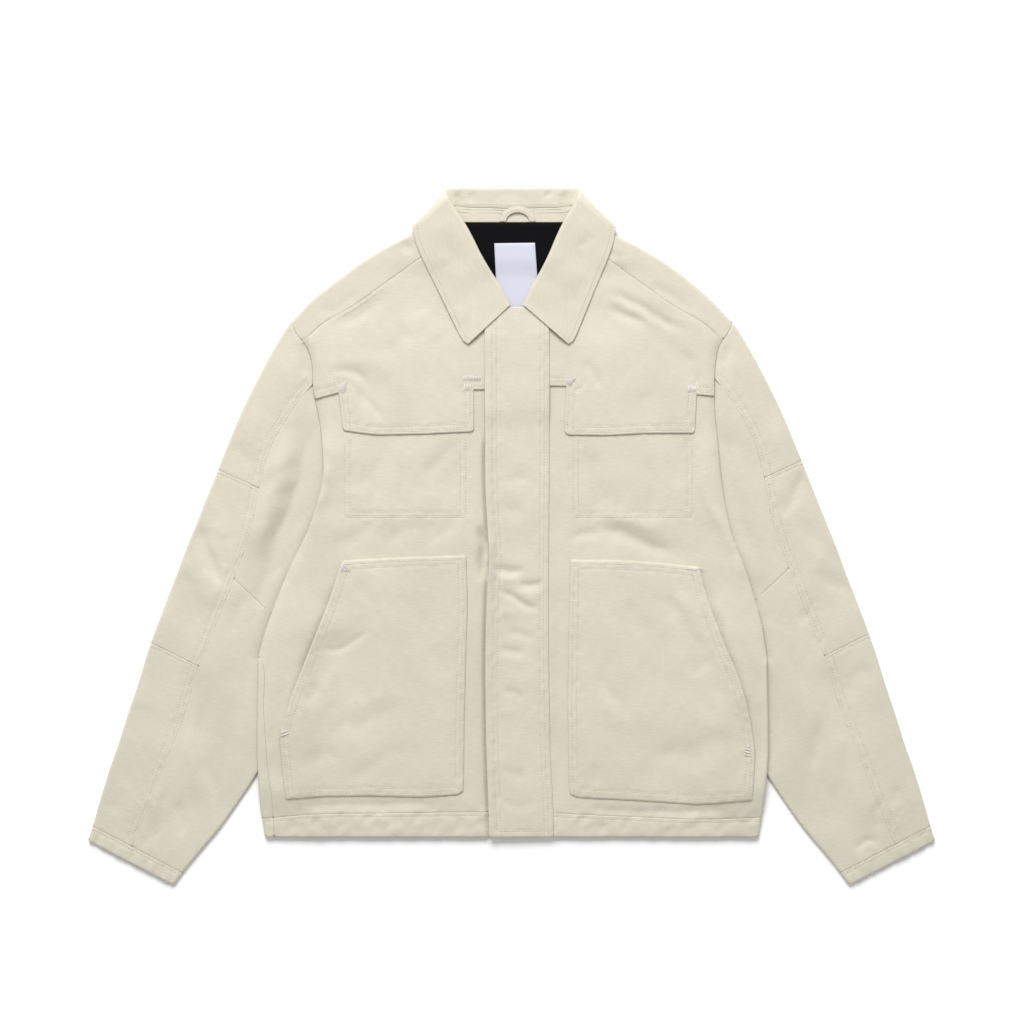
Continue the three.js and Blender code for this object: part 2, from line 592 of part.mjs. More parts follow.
// Seams of the sleeves, as distances out from the middle
const SLEEVE_TOP_Y = 205; // where the long seam starts at the armhole
const SLEEVE_CLEAR_X = 150; // clear of the sleeves on their inner side
const SLEEVE_CLEAR_Y = -500; // clear below the cuffs
const LONG_SEAM = [
  [205, SLEEVE_TOP_Y], [232, 178], [258, 143], [279, 105], [291, 61], [301, 11], [320, -43], [349, -117],
  [360, -144], [379, -205], [402, -262], [414, -295], [432, -338], [445, -368],
];
const ELBOW_START = 4;
const CROSS_START = 6;
const ELBOW_END = 8;
const UPPER_ELBOW_SEAM = [
  [291, 61], [341, 84], [400, 111],
];
const LOWER_ELBOW_SEAM = [
  [360, -144], [413, -118], [470, -90],
];
const CROSS_SEAM = [
  [320, -43], [281, -80], [200, -157],
];
const CUFF_SEAM = [
  [300, -429], [381.2, -387], [480.2, -335.5], [540, -304.5],
];
const SLEEVE_OVER_COLUMNS = 7;
const SLEEVE_UNDER_SHARES = [1, 0.7, 0.3, 0];

function sleevePieces(side) {
  const sign = side === "left" ? -1 : 1;
  const place = (points) => points.map(([x, y]) => [sign * x, y]);
  const rows = SLEEVE_ROWS.map(({ innerX, innerY, outerX, outerY }) => ({
    a: [sign * innerX, innerY],
    b: [sign * outerX, outerY],
  }));
  const tube = flatTube(rows, () => 0, sleeveHeight, SLEEVE_OVER_COLUMNS, SLEEVE_UNDER_SHARES);
  const armhole = side === "left" ? leftArmhole : rightArmhole;
  const tucked = ARMPIT_Y - 3;
  const outside = block([
    ...armhole, [sign * 295, tucked], [sign * 200, tucked], [sign * 200, -FAR], [sign * FAR, -FAR],
    [sign * FAR, FAR], [sign * 262, FAR],
  ]);
  const longWall = seamWall(place(LONG_SEAM));
  const cuffWall = seamWall(place(CUFF_SEAM));
  const shortWalls = seamWalls([UPPER_ELBOW_SEAM, LOWER_ELBOW_SEAM, CROSS_SEAM].map(place));
  const walls = shortWalls.add(longWall).add(cuffWall);
  const shell = tube.intersect(outside).subtract(armholeWalls);
  const long = (from, to) => LONG_SEAM.slice(from, to);
  const cuff = [...CUFF_SEAM, [FAR, -304.5], [FAR, -FAR], [300, -FAR]];
  const aboveTop = [LONG_SEAM[0][0], FAR];
  const innerCorners = [[300, SLEEVE_CLEAR_Y], [SLEEVE_CLEAR_X, SLEEVE_CLEAR_Y]];
  const innerTop = [SLEEVE_CLEAR_X, SLEEVE_TOP_Y];
  const innerCross = [SLEEVE_CLEAR_X, -157];
  const under = [...LONG_SEAM, ...innerCorners, innerTop];
  const wrapped = {
    sleeve_upper: [...long(0, ELBOW_START + 1), ...UPPER_ELBOW_SEAM.slice(1), [FAR, 111], [FAR, FAR], aboveTop],
    elbow_panel: [...long(ELBOW_START, ELBOW_END + 1), ...LOWER_ELBOW_SEAM.slice(1), [FAR, -90], [FAR, 111],
      ...UPPER_ELBOW_SEAM.slice(1).reverse()],
    forearm_panel: [...long(ELBOW_END), [FAR, -368], [FAR, -90], ...LOWER_ELBOW_SEAM.slice(1).reverse()],
  };
  const onFront = {
    underarm_upper: [...long(0, CROSS_START + 1), ...CROSS_SEAM.slice(1), innerCross, innerTop],
    underarm_lower: [...long(CROSS_START), ...innerCorners, innerCross, ...CROSS_SEAM.slice(1).reverse()],
  };
  const sewn = shell.subtract(walls);
  const backShell = shell.subtract(longWall).subtract(cuffWall).subtract(block(place(cuff)));
  const main = sewn.subtract(block(place(cuff)));
  const above = halfSpace(TUCKED_HEIGHT / 2 + SEAM / 2);
  const below = block(FAR_SQUARE).subtract(halfSpace(TUCKED_HEIGHT / 2 - SEAM / 2));
  const cutOut = (from, outline) => from.intersect(block(place(outline)));
  const pieces = [
    ...Object.entries(wrapped).map(([name, outline]) => [name, cutOut(main, outline)]),
    ...Object.entries(onFront).map(([name, outline]) => [name, cutOut(main, outline).intersect(above)]),
    ["underarm_back", cutOut(backShell, under).intersect(below)],
    ["cuff_band", cutOut(sewn, cuff)],
  ];
  return pieces.map(([name, solid]) => [name + "_" + side, solid]);
}

const canvas = { color: 0xe0d9c5, roughness: 0.9, metalness: 0 };
const black = { color: 0x15171a, roughness: 0.8, metalness: 0 };
const white = { color: 0xdcddeb, roughness: 0.75, metalness: 0 };

// The largest body of a solid, without the slivers that a cut along a folded edge can leave
function mainBody(solid) {
  const bodies = solid.decompose();
  return bodies.reduce((best, body) => (body.volume() > best.volume() ? body : best));
}

function meshOf(name, solid, finish) {
  const mesh = mainBody(solid).getMesh();
  const stride = mesh.numProp;
  const positions = new Float32Array(mesh.numVert * 3);
  for (let i = 0; i < mesh.numVert; i++) {
    positions.set(mesh.vertProperties.subarray(i * stride, i * stride + 3), i * 3);
  }
  const geometry = new THREE.BufferGeometry();
  geometry.setAttribute("position", new THREE.BufferAttribute(positions, 3));
  geometry.setIndex(new THREE.BufferAttribute(mesh.triVerts, 1));
  geometry.computeVertexNormals();
  const result = new THREE.Mesh(geometry, new THREE.MeshStandardMaterial(finish));
  result.name = name;
  return result;
}

const jacket = new THREE.Group();
jacket.name = "chore_jacket";
const pieces = [
  ["back_panel", under.subtract(aboveYokeSeam).subtract(belowHem)],
  ["back_yoke", under.intersect(aboveYokeSeam)],
  ["hem_back", under.intersect(belowHem)],
  ["front_left", fronts.intersect(leftHalf)],
  ["front_right", fronts.subtract(leftHalf)],
  ["hem_front_left", hemFronts.intersect(leftHalf)],
  ["hem_front_right", hemFronts.subtract(leftHalf)],
  ["front_yoke_left", yokeOf(LEFT_YOKE_OUTLINE)],
  ["front_yoke_right", yokeOf(RIGHT_YOKE_OUTLINE)],
  ["placket", placket],
  ["hand_pocket_left", pocketOf(LEFT_POCKET)],
  ["hand_pocket_right", pocketOf(RIGHT_POCKET)],
  ["collar_fall", collarFall],
  ["collar_stand", collarStand],
  ["hanger_loop", hangerLoop()],
  ...sleevePieces("left"),
  ...sleevePieces("right"),
];
for (const [name, solid] of pieces) jacket.add(meshOf(name, solid, canvas));
jacket.add(meshOf("neck_lining", lining, black));
jacket.add(meshOf("label", label, white));

export default jacket;
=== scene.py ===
import math

import bpy
import numpy as np
from bpy.props import FloatProperty, FloatVectorProperty, PointerProperty
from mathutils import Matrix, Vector
from mathutils.geometry import delaunay_2d_cdt


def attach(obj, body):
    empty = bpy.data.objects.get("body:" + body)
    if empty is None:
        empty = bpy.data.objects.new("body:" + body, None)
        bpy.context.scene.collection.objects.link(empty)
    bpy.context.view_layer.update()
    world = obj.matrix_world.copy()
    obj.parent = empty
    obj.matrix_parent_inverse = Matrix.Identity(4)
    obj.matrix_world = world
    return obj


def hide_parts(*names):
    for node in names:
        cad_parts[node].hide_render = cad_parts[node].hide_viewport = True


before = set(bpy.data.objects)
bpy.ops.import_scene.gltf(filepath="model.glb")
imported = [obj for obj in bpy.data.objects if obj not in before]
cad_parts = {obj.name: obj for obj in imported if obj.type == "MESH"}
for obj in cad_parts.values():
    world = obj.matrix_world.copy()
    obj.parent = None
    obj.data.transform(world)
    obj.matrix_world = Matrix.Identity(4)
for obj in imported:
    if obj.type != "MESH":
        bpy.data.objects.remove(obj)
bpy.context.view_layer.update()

bl_info = {
    "name": "Chore Jacket",
    "version": (1, 0, 0),
    "blender": (4, 5, 0),
    "location": "3D View > Sidebar > Chore Jacket",
    "description": "Dresses the chore jacket, laid flat, in canvas, lining and stitches",
    "category": "Add Mesh",
}

# Sizes are in millimetres, as in the part's source, and meshes are made in metres
MM = 0.001

# Cloth, as in the part's source
CLOTH = 2.0
SEAM = 0.3
LAP = CLOTH + SEAM
LINING = 1.0
LABEL = 0.6
BODY_HEIGHT = 7.0
SLEEVE_HEIGHT = 6.6
TUCKED_HEIGHT = 4.8
CUFF_HEIGHT = 5.4
TUCK_LIFT = 5.6
COLLAR_LIFT = 2.6
COLLAR_WALL = 1.8
COLLAR_EDGE_LIFT = 0.8
HEM_Y = -346.2
HEM_SEAM_Y = -322.0
NECK_SEAM_Y = 361.5
NECK_EDGE_Y = 359.0
PLACKET_TOP_Y = 264.0
CENTRE_X = 7.0
YOKE_BACK_Y = 214.0
FRONT_TOP_Y = 184.0
ARMPIT_Y = -139.0

# How finely the cloth is meshed, and how its edges turn
EDGE_STEP = 3.0
GRID_STEP = 3.2
WELD = 0.02
TURNS = {
    "seam": {"reach": 1.6, "depth": 0.6},
    "flat": {"reach": 1.2, "depth": 0.25},
    "edge": {"reach": 1.6, "depth": 0.8},
    "sewn": {"reach": 3.6, "depth": 1.5},
    "flush": {"reach": 2.2, "depth": 0.6},
    "side": {"reach": 10.0, "depth": 3.2},
    "tucked": {"reach": 14.0, "depth": 2.2},
}
RINGS = {
    "seam": (0.3, 0.9, 1.9),
    "flat": (0.3, 0.9, 1.9),
    "edge": (0.3, 0.8, 1.6),
    "sewn": (0.4, 1.1, 2.0),
    "flush": (0.4, 1.1, 2.0),
    "side": (0.5, 1.4, 2.6),
    "tucked": (0.5, 1.6),
    "fold": (0.12, 0.45, 1.0, 1.7, 2.5, 3.4),
    "hidden": (),
}
GROOVE = 0.42
GROOVE_HALF = 1.2
PUCKER = 0.3
PUCKER_REACH = 8.0
PUCKER_WAVE = 9.0
FOLD_FADE = 7.0
LEAST_HEIGHT = 1.8
NARROWEST_SHEET = 10.2
LEAST_SHARE = 0.31

# Left and right edge of the body, up from the hem
BODY_EDGE = {
    "left": [
        (-284, HEM_Y), (-288, -322), (-291.5, -280), (-292, -139), (-292, 150), (-276, 225), (-254.5, 246),
        (-231, 271), (-196, 299), (-160, 324), (-116, 347), (-104, 352), (-91, NECK_EDGE_Y),
    ],
    "right": [
        (285, HEM_Y), (288.5, -322), (293.5, -280), (294, -139), (294, 150), (277, 225), (255, 246),
        (231, 271), (199, 299), (163, 324), (118, 347), (106, 352), (93, NECK_EDGE_Y),
    ],
}
ARMHOLE = {
    "left": [
        (-262, 262), (-253.5, 246), (-247, 232), (-236, 218), (-230, 200), (-228.5, 170), (-221.5, 134),
        (-218, 104), (-217, 70), (-223, 40), (-235.5, 5), (-255, -35), (-271, -74), (-283, -108),
        (-291.5, ARMPIT_Y),
    ],
    "right": [
        (263, 262), (254.5, 246), (248, 232), (239, 218), (235, 200), (233.5, 170), (235, 134),
        (238, 104), (241, 70), (245.5, 40), (253, 5), (268, -35), (281, -74), (289, -108),
        (293.5, ARMPIT_Y),
    ],
}
SHOULDER_SEAM = [(-252, 222), (-233, 231), (-222, 241), (-180, 267), (-142, 294), (-104, 321), (-79, 340)]
SHOULDER_AXIS_X = 2.0
NECKLINE = [(-79, 340), (-72, 334), (-59, 313), (-46, 296), (-32, 279), (-14, 261)]
NECK_AXIS_X = 7.5
NECK_POINT_X = -84.0
LEFT_SIDE_SEAM = [(-300, -130), (-291, ARMPIT_Y), (-285, -202), (-281, -259), (-275, -312), (-273, -352)]
HEM_SEAM = [
    (-340, HEM_SEAM_Y - 3), (-285, HEM_SEAM_Y - 3), (-241, HEM_SEAM_Y + 1), (-152, HEM_SEAM_Y + 3),
    (48, HEM_SEAM_Y + 3), (137, HEM_SEAM_Y - 1), (226, HEM_SEAM_Y - 4), (287, HEM_SEAM_Y - 2),
    (340, HEM_SEAM_Y - 2),
]

# Edges of the sleeves, and their seams, as distances out from the middle of the back
SLEEVE_INNER = [
    (237, 257), (222, 230), (213, 192), (207, 150), (203, 110), (203, 70), (210, 30), (224, -10), (242, -50),
    (255, -90), (262, -130), (263, -168), (267, -207), (277, -243), (293, -273), (314, -305), (337, -337),
    (358, -362), (376, -384), (389, -402),
]
SLEEVE_OUTER = [
    (241, 260), (255, 246), (268, 226), (288, 190), (308, 150), (325, 110), (341, 70), (357, 30), (373, -10), (388, -50),
    (403.5, -90), (418, -130), (431, -172), (444, -211), (453, -240), (461, -262), (468, -284), (475, -307),
    (480, -325), (484, -338), (488, -350.5),
]
LONG_SEAM = [
    (205, 205), (232, 178), (258, 143), (279, 105), (291, 61), (301, 11), (320, -43), (349, -117),
    (360, -144), (379, -205), (402, -262), (414, -295), (432, -338), (445, -368),
]
UPPER_ELBOW_SEAM = [(291, 61), (341, 84), (400, 111)]
LOWER_ELBOW_SEAM = [(360, -144), (413, -118), (470, -90)]
CROSS_SEAM = [(320, -43), (281, -80), (200, -157)]
CUFF_SEAM = [(300, -429), (381.2, -387), (480.2, -335.5), (540, -304.5)]
SEAM_SHIFT = {"left": -6.0, "right": 6.0}
SLEEVE_SLANT = math.radians(16)

# Broad folds, which the solids have too: ridges or troughs along a straight stretch
BODY_FOLDS = [
    {"path": [(-208, 96), (-262, -70)], "half": 22, "rise": 2.6},
    {"path": [(226, 96), (272, -70)], "half": 20, "rise": 2.0},
    {"path": [(-150, 40), (-100, 95)], "half": 20, "rise": 1.5},
    {"path": [(-205, 10), (-95, 32)], "half": 18, "rise": 1.6},
    {"path": [(85, 12), (185, -22)], "half": 16, "rise": -0.8},
    {"path": [(120, 60), (135, 15)], "half": 22, "rise": 1.6},
    {"path": [(-222, -105), (-175, -100)], "half": 20, "rise": 2.2},
    {"path": [(-240, -215), (-150, -262)], "half": 30, "rise": 1.4},
    {"path": [(150, -205), (250, -215)], "half": 30, "rise": 1.2},
    {"path": [(228, -85), (262, -180)], "half": 18, "rise": 2.0},
    {"path": [(110, 285), (215, 245)], "half": 20, "rise": 1.4},
    {"path": [(-200, 190), (-150, 130)], "half": 20, "rise": 1.4},
]
SLEEVE_FOLDS = [
    {"path": [(372, -2), (340, -60)], "half": 16, "rise": 1.8},
    {"path": [(300, 120), (262, 190)], "half": 20, "rise": 1.4},
    {"path": [(320, -190), (352, -300)], "half": 18, "rise": 1.8},
    {"path": [(396, -250), (418, -340)], "half": 18, "rise": 1.4},
    {"path": [(400, -90), (352, -150)], "half": 18, "rise": 1.2},
]

# Creases of each part of the jacket
FRONT_CREASES = [
    {"path": [(-161, 100), (-157, 50), (-165, -4)], "half": 8, "rise": -1.1},
    {"path": [(-124, 96), (-127, 50), (-120, 2)], "half": 9, "rise": -1.2},
    {"path": [(-62, 108), (-80, 92), (-104, 62)], "half": 8, "rise": -1.0},
    {"path": [(-96, 50), (-92, 20), (-108, -6)], "half": 8, "rise": -0.8},
    {"path": [(-204, -14), (-176, 2), (-152, 12)], "half": 8, "rise": -0.7},
    {"path": [(-152, -12), (-124, 6), (-100, 18)], "half": 8, "rise": -0.8},
    {"path": [(-112, -16), (-84, 2), (-52, 28)], "half": 8, "rise": -0.8},
    {"path": [(-186, 62), (-178, 20)], "half": 12, "rise": 1.0},
    {"path": [(-36, 16), (-32, -18), (-33, -56)], "half": 5, "rise": -4.4},
    {"path": [(-222, 128), (-218, 80), (-226, 36), (-254, -10), (-284, -90)], "half": 9, "rise": 3.0},
    {"path": [(222, 128), (222, 80), (228, 36), (256, -10), (286, -90)], "half": 9, "rise": 2.0},
    {"path": [(54, 40), (54, -150), (55, -330)], "half": 6, "rise": -0.8},
    {"path": [(90, 14), (124, 4), (165, -13), (196, -22)], "half": 8, "rise": -2.4},
    {"path": [(100, 28), (140, 18), (180, 2)], "half": 8, "rise": 1.2},
    {"path": [(82, 106), (98, 66), (102, 19)], "half": 9, "rise": -1.1},
    {"path": [(158, 99), (164, 50), (160, 10)], "half": 9, "rise": -1.1},
    {"path": [(196, 70), (200, 10)], "half": 12, "rise": 0.9},
    {"path": [(66, -6), (82, 2), (104, 0)], "half": 6, "rise": -1.2},
    {"path": [(-255, -150), (-272, -230), (-268, -300)], "half": 9, "rise": -1.4},
    {"path": [(268, -120), (284, -190), (284, -300)], "half": 7, "rise": -1.4},
    {"path": [(-188, -20), (-206, -86), (-229, -140), (-256, -230)], "half": 10, "rise": -3.0},
    {"path": [(-214, -60), (-236, -100), (-262, -150)], "half": 12, "rise": -0.6},
    {"path": [(212, -20), (240, -120), (264, -190), (274, -270)], "half": 8, "rise": -2.6},
    {"path": [(-262, -312), (-150, -309), (-60, -311)], "half": 6, "rise": -1.3},
    {"path": [(76, -314), (160, -318), (270, -315)], "half": 5, "rise": -1.4},
]
YOKE_CREASES = [
    {"path": [(-216, 183), (-194, 192), (-176, 186), (-162, 150)], "half": 6, "rise": -1.4},
    {"path": [(-206, 176), (-190, 178), (-176, 162), (-168, 136)], "half": 5, "rise": -1.1},
    {"path": [(-196, 202), (-160, 200), (-140, 178)], "half": 10, "rise": 0.9},
    {"path": [(-178, 168), (-160, 150), (-146, 132)], "half": 5, "rise": -1.2},
    {"path": [(-150, 206), (-134, 220), (-114, 240)], "half": 13, "rise": -1.1},
    {"path": [(-214, 240), (-176, 256), (-132, 284)], "half": 8, "rise": -1.2},
    {"path": [(-110, 262), (-80, 224)], "half": 14, "rise": 0.8},
    {"path": [(104, 284), (142, 268), (178, 246), (208, 232)], "half": 5.5, "rise": -1.7},
    {"path": [(108, 264), (130, 256), (158, 240)], "half": 5.5, "rise": -1.6},
    {"path": [(112, 274), (146, 256), (176, 236)], "half": 5, "rise": 1.1},
    {"path": [(150, 232), (190, 214), (214, 190)], "half": 10, "rise": -0.9},
    {"path": [(84, 206), (92, 188), (102, 166)], "half": 5, "rise": -1.1},
    {"path": [(196, 214), (208, 192), (212, 168)], "half": 7, "rise": -1.1},
    {"path": [(-58, 150), (-70, 186)], "half": 14, "rise": -0.5},
    {"path": [(150, 170), (160, 130)], "half": 12, "rise": -0.5},
]
SHOULDER_CREASES = [
    {"path": [(-130, 336), (-110, 330)], "half": 6, "rise": -1.2},
    {"path": [(-222, 258), (-200, 262), (-176, 282)], "half": 7, "rise": -0.9},
    {"path": [(118, 318), (134, 300)], "half": 5, "rise": -1.3},
    {"path": [(108, 330), (118, 322), (132, 322)], "half": 4, "rise": -1.0},
    {"path": [(150, 292), (180, 278), (212, 258)], "half": 6, "rise": -1.1},
]
PLACKET_CREASES = [
    {"path": [(-20, -36), (-2, -40), (16, -38)], "half": 4.2, "rise": -2.1},
    {"path": [(-18, -48), (8, -50)], "half": 6, "rise": 0.8},
    {"path": [(8, -54), (24, -57), (38, -55)], "half": 3.6, "rise": -2.0},
    {"path": [(4, -64), (36, -70)], "half": 5.5, "rise": 0.8},
    {"path": [(-16, -62), (0, -70), (14, -78), (32, -84)], "half": 3.8, "rise": -2.0},
    {"path": [(-16, -84), (10, -94)], "half": 7, "rise": 0.9},
    {"path": [(-10, -108), (14, -114), (28, -122)], "half": 5, "rise": -0.9},
    {"path": [(-16, -130), (0, -133), (16, -132)], "half": 4.5, "rise": -1.2},
    {"path": [(-8, -150), (24, -160)], "half": 7, "rise": -0.6},
    {"path": [(-12, -178), (4, -182), (16, -190)], "half": 5, "rise": -1.0},
    {"path": [(-18, -204), (10, -200)], "half": 7, "rise": 0.6},
    {"path": [(-14, 60), (8, 68), (26, 66)], "half": 7, "rise": -0.8},
    {"path": [(-12, 32), (16, 26)], "half": 8, "rise": -0.6},
    {"path": [(-16, -262), (6, -276), (22, -272)], "half": 7, "rise": -0.9},
    {"path": [(-18, -300), (4, -312), (30, -306)], "half": 7, "rise": -0.7},
    {"path": [(-27, 10), (-25, -24), (-27, -60)], "half": 6, "rise": 1.3},
]
LEFT_POCKET_CREASES = [
    {"path": [(-222, -126), (-204, -131), (-186, -124), (-160, -102)], "half": 4, "rise": -1.3},
    {"path": [(-226, -118), (-200, -122), (-170, -98), (-140, -86)], "half": 9, "rise": -0.8},
    {"path": [(-192, -134), (-212, -176), (-232, -222)], "half": 11, "rise": 1.1},
    {"path": [(-238, -196), (-220, -168)], "half": 7, "rise": -1.0},
    {"path": [(-222, -240), (-176, -212), (-132, -204)], "half": 11, "rise": -0.9},
    {"path": [(-198, -214), (-150, -186), (-120, -182)], "half": 12, "rise": 0.6},
    {"path": [(-192, -284), (-160, -264), (-126, -236)], "half": 9, "rise": -0.8},
    {"path": [(-240, -270), (-214, -250), (-196, -252)], "half": 9, "rise": -0.8},
    {"path": [(-176, -46), (-164, -76), (-168, -96)], "half": 8, "rise": -0.9},
    {"path": [(-130, -60), (-108, -96), (-100, -140)], "half": 12, "rise": -0.6},
    {"path": [(-92, -120), (-74, -170)], "half": 14, "rise": -0.6},
]
RIGHT_POCKET_CREASES = [
    {"path": [(160, -266), (186, -248), (210, -250), (232, -236), (256, -234)], "half": 13, "rise": -1.3},
    {"path": [(190, -284), (226, -272), (256, -264)], "half": 13, "rise": 0.6},
    {"path": [(190, -60), (204, -88), (226, -126)], "half": 7, "rise": 1.5},
    {"path": [(178, -66), (190, -98)], "half": 7, "rise": -0.9},
    {"path": [(240, -136), (222, -148), (196, -156)], "half": 8, "rise": -0.7},
    {"path": [(134, -70), (146, -100), (172, -110)], "half": 12, "rise": -0.9},
    {"path": [(92, -150), (116, -182), (146, -214)], "half": 8, "rise": -0.9},
    {"path": [(104, -190), (126, -220)], "half": 9, "rise": 0.6},
    {"path": [(228, -170), (240, -200), (250, -240)], "half": 8, "rise": 0.9},
    {"path": [(88, -262), (100, -290)], "half": 9, "rise": -0.6},
]
SLEEVE_CREASES = {
    "left": [
        {"path": [(-224, 150), (-231, 92), (-241, 46), (-260, 4), (-284, -70)], "half": 15, "rise": -4.2},
        {"path": [(-256, 128), (-267, 74), (-284, 22), (-306, -34)], "half": 14, "rise": 4.4},
        {"path": [(-270, -20), (-284, -52), (-296, -90)], "half": 9, "rise": -1.0},
        {"path": [(-360, 20), (-356, -4), (-346, -32), (-330, -62)], "half": 6.5, "rise": -2.6},
        {"path": [(-380, -16), (-360, -50), (-338, -88)], "half": 13, "rise": 1.7},
        {"path": [(-300, -60), (-318, -92), (-322, -120)], "half": 9, "rise": -1.1},
        {"path": [(-352, -172), (-356, -220), (-352, -266), (-334, -322)], "half": 8, "rise": -1.9},
        {"path": [(-372, -210), (-366, -262), (-352, -312)], "half": 9, "rise": 1.1},
        {"path": [(-396, -288), (-404, -320), (-412, -362)], "half": 5, "rise": -1.3},
        {"path": [(-424, -300), (-418, -340), (-426, -364)], "half": 5, "rise": -1.1},
        {"path": [(-384, -300), (-380, -350)], "half": 6, "rise": -0.9},
        {"path": [(-292, 176), (-284, 140), (-290, 100)], "half": 8, "rise": -0.9},
        {"path": [(-318, 110), (-300, 76)], "half": 7, "rise": -0.7},
        {"path": [(-246, 226), (-240, 206), (-236, 180)], "half": 5, "rise": -1.1},
        {"path": [(-330, -4), (-342, 20)], "half": 10, "rise": 0.7},
        {"path": [(-420, -190), (-440, -236)], "half": 12, "rise": -0.6},
        {"path": [(-446, -290), (-462, -322)], "half": 8, "rise": -0.7},
    ],
    "right": [
        {"path": [(240, 150), (247, 100), (252, 60), (263, 14), (284, -40)], "half": 12, "rise": -2.8},
        {"path": [(280, -40), (292, -70), (300, -110)], "half": 8, "rise": -1.2},
        {"path": [(250, 190), (262, 140), (276, 90)], "half": 9, "rise": 1.0},
        {"path": [(298, -140), (300, -200), (300, -280)], "half": 6, "rise": -1.6},
        {"path": [(340, 80), (328, 52), (308, 20)], "half": 6.5, "rise": -1.6},
        {"path": [(306, 182), (302, 140), (306, 108)], "half": 8, "rise": -0.9},
        {"path": [(332, 18), (352, -6), (384, -36)], "half": 9, "rise": -1.0},
        {"path": [(346, -36), (372, -56), (396, -66)], "half": 8, "rise": -0.9},
        {"path": [(358, -206), (352, -240), (342, -274)], "half": 7, "rise": -1.5},
        {"path": [(380, -220), (372, -262), (366, -300)], "half": 9, "rise": 0.9},
        {"path": [(396, -366), (404, -352), (414, -350), (422, -356)], "half": 4, "rise": -1.5},
        {"path": [(430, -300), (418, -322), (428, -342)], "half": 5, "rise": -1.2},
        {"path": [(446, -286), (440, -312)], "half": 6, "rise": -1.0},
        {"path": [(330, -90), (346, -96)], "half": 7, "rise": -0.9},
        {"path": [(420, -150), (396, -164), (384, -190)], "half": 9, "rise": -0.8},
        {"path": [(250, 222), (244, 196)], "half": 5, "rise": -1.0},
    ],
}
BACK_CREASES = [
    {"path": [(-180, 120), (-60, 40), (20, 60)], "half": 14, "rise": 0.9},
    {"path": [(210, 60), (120, -60), (130, -160)], "half": 16, "rise": 1.0},
    {"path": [(-220, -90), (-120, -150), (-90, -230)], "half": 14, "rise": 0.9},
    {"path": [(40, -120), (60, -240)], "half": 12, "rise": 0.7},
    {"path": [(-60, 240), (40, 250), (120, 235)], "half": 10, "rise": 0.7},
    {"path": [(-330, -20), (-380, -90)], "half": 12, "rise": 0.7},
    {"path": [(330, 10), (370, -110)], "half": 12, "rise": 0.7},
]

# Pieces that lie on the fronts
LEFT_FLAP_EDGE = [
    (-43.6, 168.6), (-43.4, 120.5), (-103, 117.6), (-156, 116.6), (-194, 121.6), (-199, 165),
]
RIGHT_FLAP_EDGE = [(213, 163), (211, 121.6), (209, 118.6), (157, 118.6), (109, 116), (65, 116.6), (60.5, 120.5), (62.6, 173)]
PLACKET_LEFT = [
    (-31.4, PLACKET_TOP_Y), (-30.6, 123), (-29.6, 44), (-26.6, -5), (-25.5, -25), (-27.6, -55), (-29.6, -108),
    (-29.6, -212), (-25.5, HEM_Y),
]
PLACKET_RIGHT = [
    (48.6, HEM_Y), (47.7, -311), (44.7, -251), (43.7, -192), (42.7, -108), (43.7, 84), (43.7, PLACKET_TOP_Y),
]
LEFT_POCKET = {
    "mouth": [(-195, -28), (-210, -73), (-235.5, -139), (-253, -184), (-261, -208), (-267, -230)],
    "sewn": [
        (-267, -230), (-260, -303), (-222, -300), (-162, -299), (-103, -300.6), (-63, -298), (-55.3, -294),
        (-54.3, -212), (-52.3, -133), (-50.4, -73), (-52.4, -22),
    ],
    "top": [(-52.4, -22), (-146, -25), (-195, -28)],
}
PLACKET_LIFT = 1.8
PLACKET_EDGE_LIFT = 2.4
GUTTER_DEPTH = 3.8
GUTTER_HALF = 2.8
RIGHT_POCKET = {
    "top": [(216, -35), (137, -28), (67.7, -27)],
    "sewn": [
        (67.7, -27), (66.5, -73), (64.5, -192), (66.5, -297), (77, -301), (137, -304), (216, -309), (277, -304),
        (280, -248.5),
    ],
    "mouth": [(280, -248.5), (273.5, -208), (261.5, -164), (244, -123), (226, -73), (216, -35)],
}

